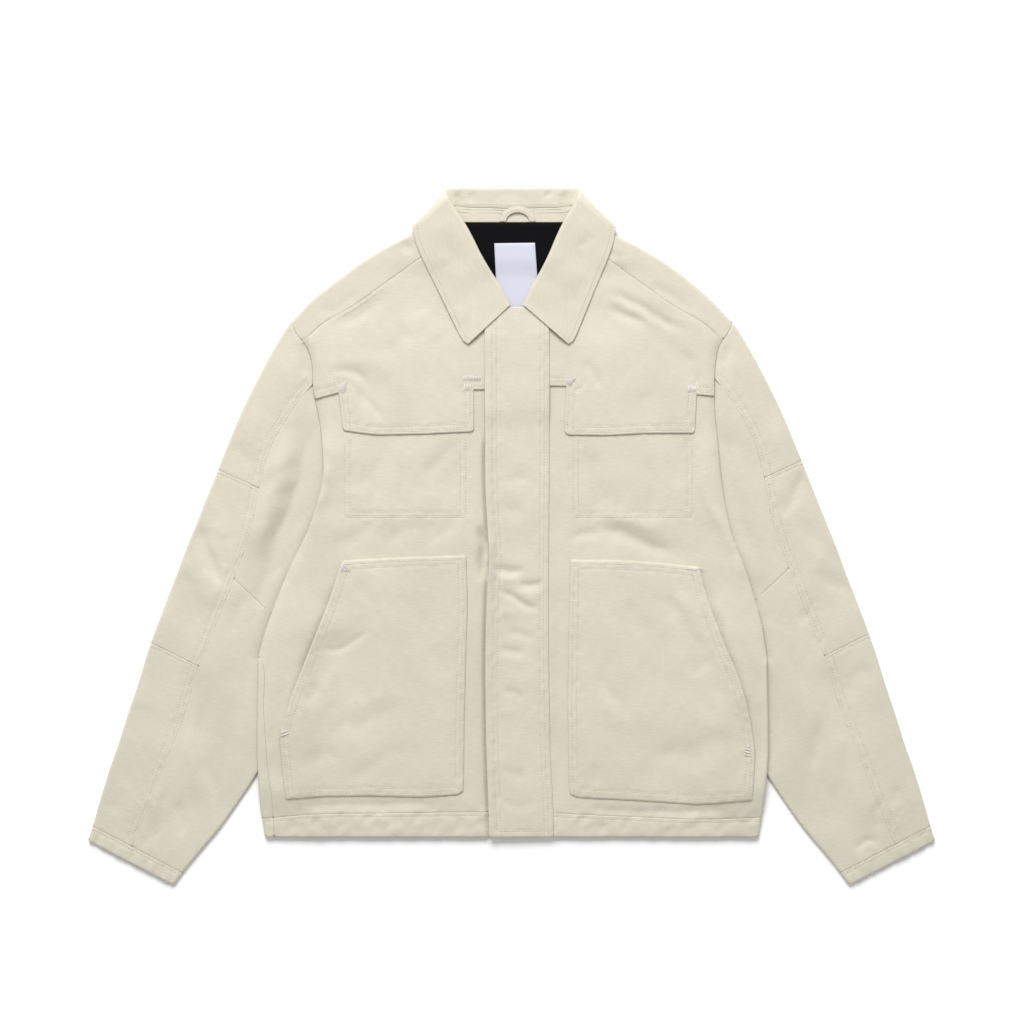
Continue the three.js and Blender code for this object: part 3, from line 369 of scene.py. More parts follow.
# The collar, a row for each section: its neck seam, the seam between stand and fall, the roll and the edge
COLLAR_AXIS_TOP_X = 1.0
COLLAR_AXIS_TIP_X = 7.8
COLLAR_TOP_Y = 402.0
COLLAR_TIP_Y = 218.0
COLLAR_COLUMNS = ("neck", "seam", "roll", "edge")
COLLAR_ROWS = [
    {"neck": (-15, 262.5), "seam": (-10, 264.5), "roll": (-1.5, 266), "edge": (-50, 221), "front": 1},
    {"neck": (-31, 281), "seam": (-21, 287), "roll": (-12, 286), "edge": (-57, 227), "front": 1},
    {"neck": (-44, 297), "seam": (-32, 306), "roll": (-25, 306), "edge": (-70, 253), "front": 1},
    {"neck": (-55, 312), "seam": (-43, 324), "roll": (-36, 325), "edge": (-83, 280), "front": 1},
    {"neck": (-66, 327), "seam": (-53, 344), "roll": (-47, 347), "edge": (-94, 302), "front": 1},
    {"neck": (-70, 337), "seam": (-60, 357), "roll": (-57, 364.5), "edge": (-104, 323), "front": 1},
    {"neck": (-75, 345), "seam": (-67, 367), "roll": (-66, 378), "edge": (-110, 338), "front": 1},
    {"neck": (-76, 352), "seam": (-70, 374), "roll": (-72, 388), "edge": (-113, 350), "front": 1},
    {"neck": (-70, 361), "seam": (-69, 380), "roll": (-75.5, 397), "edge": (-114, 356), "front": 0.45},
    {"neck": (-63, NECK_SEAM_Y), "seam": (-62, 381), "roll": (-73, 400.4), "edge": (-106, 351), "front": 0},
    {"neck": (-52, NECK_SEAM_Y), "seam": (-52, 379.5), "roll": (-60, 401), "edge": (-86, 342), "front": 0},
    {"neck": (-32, NECK_SEAM_Y), "seam": (-33, 379), "roll": (-40, 401), "edge": (-58, 340), "front": 0},
]
COLLAR_BACK_ROW = {"neck": (1, NECK_SEAM_Y), "seam": (1, 378), "roll": (1, 401), "edge": (1, 338), "front": 0}
BEHIND_Z = COLLAR_WALL / 2
NECK_Z = COLLAR_LIFT + CLOTH / 2
ROLL_RISE = 5.0
ROLL_LEAST = 1.0
STAND_GAP = 0.5
PLACKET_REACH = 62.0
FALL_START = 0.2
LEAF_SHARES = (0.12, 0.35, 0.6, 0.8, 1.0)
COLLAR_ROWS_SHOWN_Y = 366.0
COLLAR_CREASES = [
    {"path": [(-86, 352), (-70, 330), (-62, 300)], "half": 9, "rise": -0.8},
    {"path": [(-70, 262), (-54, 246)], "half": 10, "rise": 0.6},
    {"path": [(84, 300), (70, 262)], "half": 10, "rise": -0.6},
    {"path": [(92, 350), (78, 330)], "half": 7, "rise": -0.7},
    {"path": [(-66, 397), (-60, 389), (-64, 376)], "half": 5, "rise": -1.5},
    {"path": [(-46, 398), (-44, 390), (-48, 384)], "half": 5, "rise": -0.9},
    {"path": [(58, 398), (62, 390), (60, 376)], "half": 5, "rise": -1.5},
    {"path": [(40, 398), (44, 390)], "half": 5, "rise": -0.7},
    {"path": [(-20, 394), (14, 396)], "half": 6, "rise": -0.4},
    {"path": [(-50, 368), (-40, 374)], "half": 5, "rise": -0.5},
]

# The hanger loop
LOOP_CENTRE_X = 7.0
LOOP_HALF_SPAN = 17.0
LOOP_TAPE = 7.5
LOOP_WALL = 1.4
LOOP_RISE = 14.0

# Tacks: patches of close threads that hold the corners. Middle, size of the patch, turn of its threads and their number
TACKS = [
    {"on": "front_yoke_left", "at": (-193, 172), "size": (11, 10), "turn": 60, "threads": 7, "taper": 0.7},
    {"on": "front_yoke_left", "at": (-46, 182), "size": (19, 6), "turn": 0, "threads": 11, "taper": 0.2},
    {"on": "front_yoke_left", "at": (-51, 172), "size": (7, 9), "turn": 0, "threads": 5, "taper": 0.0},
    {"on": "front_yoke_right", "at": (69, 179), "size": (10, 9), "turn": 40, "threads": 7, "taper": 0.6},
    {"on": "front_yoke_right", "at": (207, 170), "size": (8, 10), "turn": 0, "threads": 6, "taper": 0.5},
    {"on": "hand_pocket_left", "at": (-191, -37), "size": (9, 14), "turn": -20, "threads": 6, "taper": 0.7},
    {"on": "hand_pocket_left", "at": (-261, -225.6), "size": (3.4, 10), "turn": -65, "threads": 2, "taper": 0.0},
    {"on": "hand_pocket_right", "at": (210, -37), "size": (18, 5), "turn": 3, "threads": 11, "taper": -0.6},
    {"on": "hand_pocket_right", "at": (271, -247), "size": (10, 9), "turn": 86, "threads": 4, "taper": 0.4},
]
TACK_THREAD = 1.05

# The camera looks straight down, as the photograph was taken
VIEW_WIDTH = 1177.6
VIEW_CENTRE = (0.5, 27.9)
LENS = 85.0
SENSOR = 36.0


def linear(colour):
    """An sRGB hex colour as linear red, green and blue"""
    parts = [int(colour[i:i + 2], 16) / 255 for i in (1, 3, 5)]
    return [c / 12.92 if c <= 0.04045 else ((c + 0.055) / 1.055) ** 2.4 for c in parts]


class JacketSizes(bpy.types.PropertyGroup):
    wall: FloatProperty(
        name="Cloth thickness", description="Thickness of the canvas shell", default=1.5 * MM, unit="LENGTH"
    )
    crease: FloatProperty(name="Crease depth", description="How deep the creases are", default=1.25)
    wave: FloatProperty(
        name="Cloth wave", description="Height of the soft unevenness of the cloth", default=0.4 * MM, unit="LENGTH"
    )
    stitch_pitch: FloatProperty(
        name="Stitch pitch", description="From stitch to stitch along a row", default=3.4 * MM, unit="LENGTH"
    )
    stitch_length: FloatProperty(
        name="Stitch length", description="Length of the thread that shows", default=2.3 * MM, unit="LENGTH"
    )
    stitch_width: FloatProperty(
        name="Thread width", description="Thickness of the sewing thread", default=0.9 * MM, unit="LENGTH"
    )
    # Radius of the dark dot of painted shade that stands in for a needle hole's shadow
    needle_hole_shade_radius: FloatProperty(
        name="Needle hole", description="Radius of the shaded hole between two stitches", default=0.38 * MM,
        unit="LENGTH"
    )
    weave: FloatProperty(
        name="Weave spacing", description="From yarn to yarn in the canvas", default=1.1 * MM, unit="LENGTH"
    )


class JacketColours(bpy.types.PropertyGroup):
    canvas: FloatVectorProperty(
        name="Canvas", description="Undyed cotton canvas", subtype="COLOR", default=linear("#D2CCBA")
    )
    lining: FloatVectorProperty(
        name="Lining", description="Black lining", subtype="COLOR", default=linear("#0C0C0E")
    )
    label: FloatVectorProperty(
        name="Label", description="White satin label", subtype="COLOR", default=linear("#C7C8D6")
    )
    thread: FloatVectorProperty(
        name="Thread", description="Sewing thread", subtype="COLOR", default=linear("#DED8C9")
    )
    # Painted shade: colour of the dark dots that stand in for the shadow in the needle holes
    painted_hole_shade: FloatVectorProperty(
        name="Painted needle hole shade", description="Shade in the needle holes", subtype="COLOR", default=linear("#B6AE99")
    )
    tack: FloatVectorProperty(
        name="Bar tacks", description="Lilac white thread of the tacks", subtype="COLOR", default=linear("#E9E3E6")
    )
    floor: FloatVectorProperty(
        name="Floor", description="White sweep", subtype="COLOR", default=linear("#FAFAFA")
    )


def sizes():
    return bpy.context.scene.jacket_sizes


def colours():
    return bpy.context.scene.jacket_colours


def smooth(value, low, high):
    """0 below low, 1 above high, and an even curve between"""
    share = np.clip((value - low) / (high - low), 0, 1)
    return share * share * (3 - 2 * share)


def curve(points, step=EDGE_STEP):
    """A smooth line through points, with a point about every step"""
    given = np.array(points, float)
    padded = np.vstack([2 * given[0] - given[1], given, 2 * given[-1] - given[-2]])
    line = [given[0]]
    for a, b, c, d in zip(padded[:-3], padded[1:-2], padded[2:-1], padded[3:]):
        gaps = [max(np.linalg.norm(q - p), 1e-6) for p, q in ((a, b), (b, c), (c, d))]
        start = gaps[1] * ((b - a) / gaps[0] * gaps[1] + (c - b) / gaps[1] * gaps[0]) / (gaps[0] + gaps[1])
        end = gaps[1] * ((c - b) / gaps[1] * gaps[2] + (d - c) / gaps[2] * gaps[1]) / (gaps[1] + gaps[2])
        count = max(1, round(np.linalg.norm(c - b) / step))
        for i in range(1, count + 1):
            t = i / count
            line.append(
                (2 * t ** 3 - 3 * t ** 2 + 1) * b + (t ** 3 - 2 * t ** 2 + t) * start
                + (3 * t ** 2 - 2 * t ** 3) * c + (t ** 3 - t ** 2) * end
            )
    return np.array(line)


def straight(points, step=EDGE_STEP):
    """A line with corners kept, with a point about every step"""
    line = [np.array(points[0], float)]
    for a, b in zip(points[:-1], points[1:]):
        a, b = np.array(a, float), np.array(b, float)
        count = max(1, round(np.linalg.norm(b - a) / step))
        line += [a + (b - a) * i / count for i in range(1, count + 1)]
    return np.array(line)


def rounded(points, radius):
    """A line whose corners are rounded, with corners given by points"""
    given = np.array(points, float)
    line = [given[0]]
    for before, corner, after in zip(given[:-2], given[1:-1], given[2:]):
        back = (before - corner) / np.linalg.norm(before - corner)
        on = (after - corner) / np.linalg.norm(after - corner)
        reach = min(radius, np.linalg.norm(before - corner) / 2.2, np.linalg.norm(after - corner) / 2.2)
        for t in (0, 0.25, 0.5, 0.75, 1):
            line.append(corner + back * reach * (1 - t) ** 2 + on * reach * t ** 2)
    line.append(given[-1])
    return straight(line)


def mirrored(points, axis=0.0):
    return [(2 * axis - x, y) for x, y in points][::-1]


def crossing(first, second):
    """The first point where two lines cross"""
    for a, b in zip(first[:-1], first[1:]):
        for c, d in zip(second[:-1], second[1:]):
            r, s = b - a, d - c
            bottom = r[0] * s[1] - r[1] * s[0]
            if abs(bottom) < 1e-9:
                continue
            t = ((c - a)[0] * s[1] - (c - a)[1] * s[0]) / bottom
            u = ((c - a)[0] * r[1] - (c - a)[1] * r[0]) / bottom
            if -1e-6 <= t <= 1 + 1e-6 and -1e-6 <= u <= 1 + 1e-6:
                return a + r * t
    raise ValueError("two lines of the cut don't cross")


def nearest(points, line):
    """Distance of each point from a line, and how far along the line its nearest place is, as a share"""
    gaps = np.full(len(points), np.inf)
    along = np.zeros(len(points))
    run = 0.0
    for a, b in zip(line[:-1], line[1:]):
        step = b - a
        length = np.hypot(*step)
        if length < 1e-9:
            continue
        share = np.clip((points - a) @ step / length ** 2, 0, 1)
        gap = np.hypot(*(points - a - share[:, None] * step).T)
        closer = gap < gaps
        gaps = np.where(closer, gap, gaps)
        along = np.where(closer, run + share * length, along)
        run += length
    return gaps, along / run


def stretch(line, start, end):
    """The part of a line from one point to another, both near it"""
    line = np.asarray(line)
    start, end = np.asarray(start, float), np.asarray(end, float)
    places = nearest(np.array([start, end]), line)[1]
    if places[0] > places[1]:
        return stretch(line[::-1], start, end)
    lengths = np.concatenate([[0], np.cumsum(np.hypot(*np.diff(line, axis=0).T))])
    shares = lengths / lengths[-1]
    near = 0.25 * EDGE_STEP / lengths[-1]
    inside = line[(shares > places[0] + near) & (shares < places[1] - near)]
    return np.vstack([start, inside, end])


def offset(line, distance):
    """A line moved to its left by a distance"""
    line = np.asarray(line)
    steps = np.diff(line, axis=0)
    steps = steps / np.maximum(np.hypot(*steps.T)[:, None], 1e-9)
    before = np.vstack([steps[:1], steps])
    after = np.vstack([steps, steps[-1:]])
    mean = before + after
    mean /= np.maximum(np.hypot(*mean.T)[:, None], 1e-9)
    miter = 1 / np.maximum((mean * after).sum(1), 0.5)
    normals = np.stack([-mean[:, 1], mean[:, 0]], 1)
    return line + normals * (distance * miter)[:, None]


def waves(x, y, length, seed):
    """Soft uneven waves of about one length, between about -1 and 1"""
    rng = np.random.default_rng(seed)
    total = np.zeros_like(x, float)
    count = 9
    for _ in range(count):
        angle, phase, stretch_by = rng.uniform(0, 2 * math.pi, 2).tolist() + [rng.uniform(0.7, 1.4)]
        turn = 2 * math.pi / (length * stretch_by)
        total += np.sin((x * math.cos(angle) + y * math.sin(angle)) * turn + phase)
    return total / math.sqrt(2 * count)


def folds_rise(points, folds):
    """Height of the broad folds"""
    total = np.zeros(len(points))
    for fold in folds:
        gaps, _ = nearest(points, np.array(fold["path"], float))
        total += fold["rise"] * np.exp(-((gaps / fold["half"]) ** 2))
    return total


def creases_rise(points, creases):
    """Height of the creases, which fade out at their ends and wander a little"""
    total = np.zeros(len(points))
    wander = np.stack([waves(points[:, 0], points[:, 1], 34, 5), waves(points[:, 0], points[:, 1], 38, 6)], 1)
    moved = points + 1.6 * wander
    for crease in creases:
        gaps, along = nearest(moved, curve(crease["path"], 6))
        fade = smooth(along, 0, 0.3) * (1 - smooth(along, 0.7, 1))
        total += crease["rise"] * fade * np.exp(-((gaps / crease["half"]) ** 2))
    return total * sizes().crease


def body_lift(points):
    x, y = points.T
    side = smooth(np.abs(x), 214, 246)
    beside = smooth(y, -335, -285) * (1 - smooth(y, -118, -50))
    neck = smooth(y, 296, 322) * (1 - smooth(np.abs(x), 128, 160))
    return TUCK_LIFT * side * beside + COLLAR_LIFT * neck


def body_height(points):
    return BODY_HEIGHT + folds_rise(points, BODY_FOLDS)


def body_top(points):
    return body_lift(points) + body_height(points)


def body_wave(points):
    x, y = points.T
    broad = waves(x, y, 95, 1) + 0.55 * waves(x, y, 42, 2)
    return sizes().wave / MM * broad + 0.1 * waves(x, y, 17, 3)


def out_from_middle(points):
    return np.stack([np.abs(points[:, 0]), points[:, 1]], 1)


INNER_LINE = curve(SLEEVE_INNER)
OUTER_LINE = curve(SLEEVE_OUTER)


def sleeve_height(points):
    plan = out_from_middle(points)
    inner, _ = nearest(plan, INNER_LINE)
    outer, _ = nearest(plan, OUTER_LINE)
    across = inner / np.maximum(inner + outer, 1e-6)
    spread = smooth(across, 0.26, 0.5)
    toward_cuff = smooth(-points[:, 1], 300, 350)
    full = SLEEVE_HEIGHT + folds_rise(plan, SLEEVE_FOLDS)
    height = TUCKED_HEIGHT + (full - TUCKED_HEIGHT) * spread
    return height + (CUFF_HEIGHT - height) * toward_cuff


def cuff_pucker(points):
    """Small ripples of the turned cuff and of the cloth gathered above it"""
    line = np.array([(389, -402), (488, -350.5)], float)
    gaps, along = nearest(out_from_middle(points), line)
    ripple = waves(along * 118, gaps * 0.25, 13, 8)
    return 0.75 * ripple * np.exp(-((gaps / 22) ** 2))


class Skin:
    """One face of a cloth piece: an outline in plan, and the height of the cloth over it"""

    def __init__(self, outline, base, relief, radius=None, up=True, rows=(), sunk=(), fine=()):
        self.outline = [(kind, np.asarray(line)) for kind, line in outline]
        self.base, self.relief, self.radius = base, relief, radius
        self.up, self.rows, self.sunk, self.fine = up, list(rows), sunk, list(fine)

    def border(self):
        return np.vstack([line[:-1] for _, line in self.outline])

    def height(self, points):
        """Height of the cloth's outer face at points in plan"""
        sign = 1 if self.up else -1
        free = np.ones(len(points))
        drop = np.zeros(len(points))
        for kind, line in self.outline:
            if kind == "hidden":
                continue
            gaps, _ = nearest(points, line)
            if kind == "fold":
                roll = self.radius(points)
                inside = np.clip(roll - gaps, 0, roll)
                drop = np.maximum(drop, roll - np.sqrt(np.maximum(roll ** 2 - inside ** 2, 0)))
                free *= smooth(gaps, 0, FOLD_FADE)
            else:
                turn = TURNS[kind]
                drop = np.maximum(drop, turn["depth"] * np.clip(1 - gaps / turn["reach"], 0, 1) ** 2)
        relief = self.relief(points)
        closeness = np.zeros(len(points))
        for row in self.rows:
            gaps, _ = nearest(points, row)
            relief = relief - sign * GROOVE * np.exp(-((gaps / GROOVE_HALF) ** 2))
            closeness = np.maximum(closeness, np.exp(-((gaps / PUCKER_REACH) ** 2)))
        relief = relief + PUCKER * closeness * waves(points[:, 0], points[:, 1], PUCKER_WAVE, 4)
        for outline, depth in self.sunk:
            gaps, _ = nearest(points, outline)
            relief = relief - depth * smooth(gaps, 5, 14) * contains(outline, points)
        if not self.up:
            relief = np.maximum(relief, 0)
        height = self.base(points) + relief * free - sign * drop
        return np.maximum(height, LEAST_HEIGHT) if self.up else height

    def mesh(self):
        """Points in plan and triangles that fill the outline, finer along edges and stitches"""
        border = self.border()
        loop = np.vstack([border, border[:1]])
        if signed_area(border) < 0:
            border = border[::-1]
        inner = []
        for kind, line in self.outline:
            side = 1 if signed_area(self.border()) > 0 else -1
            for reach in RINGS[kind]:
                ring = offset(line, side * reach)
                gaps, _ = nearest(ring, loop)
                inner.append(ring[(gaps > 0.85 * reach) & contains(loop, ring)])
        for row in self.rows:
            for shift in (-1.2, 0, 1.2):
                inner.append(offset(straight(row, 2.6), shift))
        for line in self.fine:
            for shift in (-2.4, -1.2, 0, 1.2):
                ring = offset(straight(line, 2.6), shift)
                gaps, _ = nearest(ring, loop)
                inner.append(ring[gaps > 1.2])
        close = np.vstack(inner) if inner else np.empty((0, 2))
        low, high = border.min(0), border.max(0)
        xs = np.arange(low[0], high[0], GRID_STEP)
        ys = np.arange(low[1], high[1], GRID_STEP * math.sqrt(3) / 2)
        grid = np.array([(x + (i % 2) * GRID_STEP / 2, y) for i, y in enumerate(ys) for x in xs])
        gaps, _ = nearest(grid, loop)
        grid = grid[(gaps > 3.4) & contains(loop, grid)]
        for row in self.rows + self.fine:
            gaps, _ = nearest(grid, row)
            grid = grid[gaps > 2.4]
        close = close[contains(loop, close)] if len(close) else close
        points = np.vstack([border, close, grid])
        filled = delaunay_2d_cdt([Vector(p) for p in points], [], [list(range(len(border)))], 1, 1e-4)
        plan = np.array([tuple(v) for v in filled[0]])
        return plan, filled[2]


def contains(loop, points):
    """Whether each point lies inside a closed line"""
    inside = np.zeros(len(points), bool)
    x, y = points.T
    ends = np.vstack([loop, loop[:1]])
    for (x0, y0), (x1, y1) in zip(ends[:-1], ends[1:]):
        if y0 == y1:
            continue
        crosses = ((y0 > y) != (y1 > y)) & (x < (x1 - x0) * (y - y0) / (y1 - y0) + x0)
        inside ^= crosses
    return inside


def signed_area(points):
    x, y = np.asarray(points).T
    return 0.5 * float(np.sum(x * np.roll(y, -1) - np.roll(x, -1) * y))


def cut_size(skins, grain):
    """Width, length and area of a piece's cut in metres, with the faces that a fold joins laid side by side"""
    turn = np.array([[math.cos(grain), -math.sin(grain)], [math.sin(grain), math.cos(grain)]])
    spans = [np.ptp(skin.border() @ turn, axis=0) for skin in skins]
    area = sum(abs(signed_area(skin.border())) for skin in skins)
    widths, lengths = np.array(spans).T
    if widths.max() > lengths.max() * 1.6:
        width, length = widths.max(), lengths.sum()
    else:
        width, length = widths.sum(), lengths.max()
    return (width * MM, length * MM), area * MM * MM


def finished(obj, node, flat, area):
    """Puts a piece on the body, in place of its plain solid, with smooth shading"""
    obj.data.shade_smooth()
    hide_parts(node)
    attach(obj, "root")
    return obj


def apply_modifiers(obj):
    bpy.context.view_layer.update()
    evaluated = obj.evaluated_get(bpy.context.evaluated_depsgraph_get())
    mesh = bpy.data.meshes.new_from_object(evaluated)
    obj.modifiers.clear()
    obj.data = mesh


def new_mesh_object(name, verts, faces, material):
    mesh = bpy.data.meshes.new(name)
    mesh.from_pydata(verts.tolist(), [], faces)
    mesh.materials.append(material)
    obj = bpy.data.objects.new(name, mesh)
    bpy.context.scene.collection.objects.link(obj)
    return obj


def add_plan_uv(mesh, grain):
    """A UV map in metres whose V runs along the cloth's grain"""
    coords = np.zeros(len(mesh.vertices) * 3)
    mesh.vertices.foreach_get("co", coords)
    x, y, _ = coords.reshape(-1, 3).T
    u = x * math.cos(grain) + y * math.sin(grain)
    v = y * math.cos(grain) - x * math.sin(grain)
    corners = np.zeros(len(mesh.loops), np.int32)
    mesh.loops.foreach_get("vertex_index", corners)
    layer = mesh.uv_layers.new(name="cloth")
    layer.data.foreach_set("uv", np.stack([u[corners], v[corners]], 1).ravel())


def cloth_piece(name, skins, grain=0.0, material=None, wall=None):
    """A shell of cloth from its outer faces, in place of the solid of the same name"""
    verts, faces = [], []
    for skin in skins:
        plan, triangles = skin.mesh()
        z = skin.height(plan)
        first = len(verts)
        verts += np.column_stack([plan, z]).tolist()
        for triangle in triangles:
            corners = [first + i for i in triangle]
            faces.append(corners if skin.up else corners[::-1])
    obj = new_mesh_object(name + "_cloth", np.array(verts) * MM, faces, material or canvas_cloth())
    if len(skins) > 1:
        weld = obj.modifiers.new("Weld", "WELD")
        weld.merge_threshold = WELD * MM
    thicken = obj.modifiers.new("Wall", "SOLIDIFY")
    thicken.thickness = wall or sizes().wall
    thicken.offset = -1
    thicken.use_quality_normals = True
    apply_modifiers(obj)
    add_plan_uv(obj.data, grain)
    flat, area = cut_size(skins, grain)
    return finished(obj, name, flat, area)


def add_node(tree, kind, settings=(), inputs=(), links=()):
    """A node with its settings, its sockets' values and what is linked into it"""
    node = tree.nodes.new(kind)
    for name, value in dict(settings).items():
        setattr(node, name, value)
    for name, value in dict(inputs).items():
        node.inputs[name].default_value = value
    for name, source in dict(links).items():
        tree.links.new(source, node.inputs[name])
    return node


def opaque(colour):
    return (*colour[:3], 1)


def new_material(name):
    material = bpy.data.materials.new(name)
    material.use_nodes = True
    tree = material.node_tree
    tree.nodes.clear()
    output = add_node(tree, "ShaderNodeOutputMaterial")
    return material, tree, output


def canvas_cloth():
    """Undyed cotton canvas, woven and washed: matt, a little napped, with yarns that thicken here and there"""
    made = bpy.data.materials.get("washed_cotton_canvas")
    if made:
        return made
    material, tree, output = new_material("washed_cotton_canvas")
    colour = colours().canvas
    place = add_node(tree, "ShaderNodeTexCoord")
    grain = add_node(tree, "ShaderNodeUVMap", {"uv_map": "cloth"})
    warp = weave_lines(tree, grain.outputs["UV"], "X")
    weft = weave_lines(tree, grain.outputs["UV"], "Y")
    cloth = add_node(tree, "ShaderNodeMath", {"operation": "MAXIMUM"}, links={0: warp, 1: weft})
    along_weft = add_node(
        tree, "ShaderNodeVectorMath", {"operation": "MULTIPLY"}, {1: (0.22, 1, 1)}, {0: grain.outputs["UV"]}
    )
    slub = add_node(
        tree, "ShaderNodeTexNoise", inputs={"Scale": 520, "Detail": 3}, links={"Vector": along_weft.outputs["Vector"]}
    )
    patch = add_node(
        tree, "ShaderNodeTexNoise", inputs={"Scale": 14, "Detail": 5}, links={"Vector": place.outputs["Object"]}
    )
    tone = add_node(
        tree, "ShaderNodeMapRange", inputs={"From Min": 0.3, "From Max": 0.7, "To Min": 0.955, "To Max": 1.03},
        links={"Value": patch.outputs["Fac"]},
    )
    yarn_tone = add_node(
        tree, "ShaderNodeMapRange", inputs={"From Min": 0.25, "From Max": 0.75, "To Min": 0.945, "To Max": 1.04},
        links={"Value": slub.outputs["Fac"]},
    )
    both = add_node(
        tree, "ShaderNodeMath", {"operation": "MULTIPLY"},
        links={0: tone.outputs["Result"], 1: yarn_tone.outputs["Result"]},
    )
    shade = add_node(
        tree, "ShaderNodeVectorMath", {"operation": "SCALE"}, {0: colour}, {"Scale": both.outputs["Value"]}
    )
    height = add_node(
        tree, "ShaderNodeMath", {"operation": "MULTIPLY_ADD"}, {1: 0.5},
        {0: slub.outputs["Fac"], 2: cloth.outputs["Value"]},
    )
    bump = add_node(
        tree, "ShaderNodeBump", inputs={"Strength": 0.6, "Distance": 0.35 * MM},
        links={"Height": height.outputs["Value"]},
    )
    shader = add_node(
        tree, "ShaderNodeBsdfPrincipled",
        inputs={"Roughness": 0.92, "Specular IOR Level": 0.25, "Sheen Weight": 0.12, "Sheen Roughness": 0.6},
        links={"Base Color": shade.outputs["Vector"], "Normal": bump.outputs["Normal"]},
    )
    tree.links.new(shader.outputs["BSDF"], output.inputs["Surface"])
    return material


def weave_lines(tree, vector, axis):
    """The yarns that run one way. Real canvas has about 18 to the centimetre, drawn coarser so that they show."""
    lines = add_node(
        tree, "ShaderNodeTexWave", {"bands_direction": axis},
        {"Scale": 0.314 / sizes().weave, "Distortion": 1.2, "Detail": 2, "Detail Scale": 3}, {"Vector": vector},
    )
    return lines.outputs["Fac"]


def plain_cloth(name, colour, roughness, gloss, scale, bump_mm):
    """Cloth of one colour with a fine even grain"""
    made = bpy.data.materials.get(name)
    if made:
        return made
    material, tree, output = new_material(name)
    place = add_node(tree, "ShaderNodeTexCoord")
    grain = add_node(
        tree, "ShaderNodeTexNoise", inputs={"Scale": scale, "Detail": 4}, links={"Vector": place.outputs["Object"]}
    )
    tone = add_node(
        tree, "ShaderNodeMapRange", inputs={"From Min": 0.3, "From Max": 0.7, "To Min": 0.9, "To Max": 1.06},
        links={"Value": grain.outputs["Fac"]},
    )
    shade = add_node(
        tree, "ShaderNodeVectorMath", {"operation": "SCALE"}, {0: colour}, {"Scale": tone.outputs["Result"]}
    )
    bump = add_node(
        tree, "ShaderNodeBump", inputs={"Strength": 0.4, "Distance": bump_mm * MM},
        links={"Height": grain.outputs["Fac"]},
    )
    shader = add_node(
        tree, "ShaderNodeBsdfPrincipled",
        inputs={"Roughness": roughness, "Specular IOR Level": gloss},
        links={"Base Color": shade.outputs["Vector"], "Normal": bump.outputs["Normal"]},
    )
    tree.links.new(shader.outputs["BSDF"], output.inputs["Surface"])
    return material


def lining_cloth():
    """Black plain-woven lining: smooth, with a faint sheen"""
    return plain_cloth("black_woven_lining", colours().lining, 0.75, 0.06, 700, 0.1)


def label_cloth():
    """White satin label: close woven and slightly glossy"""
    return plain_cloth("white_satin_label", colours().label, 0.5, 0.3, 1200, 0.05)


def thread_cloth():
    """Cotton sewing thread in the canvas's own colour"""
    return plain_cloth("cotton_thread", colours().thread, 0.8, 0.2, 2500, 0.05)


def painted_hole_shade_cloth():
    """Painted shade: a darker canvas colour for the dots that stand in for the shadow inside a needle hole"""
    return plain_cloth("needle_hole_shade", colours().painted_hole_shade, 0.9, 0.05, 2500, 0.02)


def tack_cloth():
    """Bright thread of the bar tacks, close set"""
    return plain_cloth("bar_tack_thread", colours().tack, 0.6, 0.4, 2500, 0.05)


SHOULDER_RIGHT = mirrored(SHOULDER_SEAM, SHOULDER_AXIS_X)
NECKLINE_RIGHT = mirrored(NECKLINE, NECK_AXIS_X)
BODY_LINE = {side: curve(points) for side, points in BODY_EDGE.items()}
ARM_LINE = {side: curve(points) for side, points in ARMHOLE.items()}
SHOULDER_LINE = {"left": curve(SHOULDER_SEAM), "right": curve(SHOULDER_RIGHT[::-1])}
SIDE_LINE = curve(LEFT_SIDE_SEAM)
HEM_LINE = curve(HEM_SEAM)
BOTTOM_LINE = straight([(-400, HEM_Y), (400, HEM_Y)])
CENTRE_LINE = straight([(CENTRE_X, -400), (CENTRE_X, 400)])
FRONT_TOP_LINE = straight([(-400, FRONT_TOP_Y), (400, FRONT_TOP_Y)])
BACK_SEAM_LINE = straight([(-400, YOKE_BACK_Y), (400, YOKE_BACK_Y)])
PLACKET_LINE = np.vstack([
    curve(PLACKET_LEFT), straight([PLACKET_LEFT[-1], PLACKET_RIGHT[0]])[1:], curve(PLACKET_RIGHT)[1:],
])


def pocket_outline(pocket):
    return [
        ("edge", curve(pocket["mouth"])), ("sewn", rounded(pocket["sewn"], 2.5)), ("sewn", curve(pocket["top"])),
    ]


def closed(outline):
    return np.vstack([line[:-1] for _, line in outline])


LEFT_POCKET_EDGE = pocket_outline(LEFT_POCKET)
RIGHT_POCKET_EDGE = [
    ("sewn", curve(RIGHT_POCKET["top"])), ("sewn", rounded(RIGHT_POCKET["sewn"], 2.5)),
    ("edge", curve(RIGHT_POCKET["mouth"])),
]


def inner_rows(outline, distances):
    """Rows of stitches inside a closed outline"""
    loop = closed(outline)
    side = 1 if signed_area(loop) > 0 else -1
    ring = np.vstack([loop, loop[:1]])
    return [trimmed(offset(ring, side * gap), ring, gap) for gap in distances]


def trimmed(line, border, gap):
    """A moved line without the points that a corner has brought too near the border"""
    gaps, _ = nearest(line, border)
    return line[gaps > 0.9 * gap]


def body_relief(creases):
    return lambda points: body_wave(points) + creases_rise(points, creases)


def half_height(points):
    return body_height(points) / 2


def back_base(points):
    return body_lift(points)


def back_relief(points):
    return np.abs(creases_rise(points, BACK_CREASES)) + 0.15 * (1 + waves(points[:, 0], points[:, 1], 60, 7))


PLACKET_EDGE = curve(PLACKET_LEFT)


def front_relief(points):
    return body_wave(points) + creases_rise(points, FRONT_CREASES) + hem_ripple(points) + gutter(points)


def gutter(points):
    """The dip in which the placket's free edge lies"""
    gaps, _ = nearest(points, PLACKET_EDGE)
    return -GUTTER_DEPTH * np.exp(-((gaps / GUTTER_HALF) ** 2)) * (1 - smooth(points[:, 1], 90, 125))


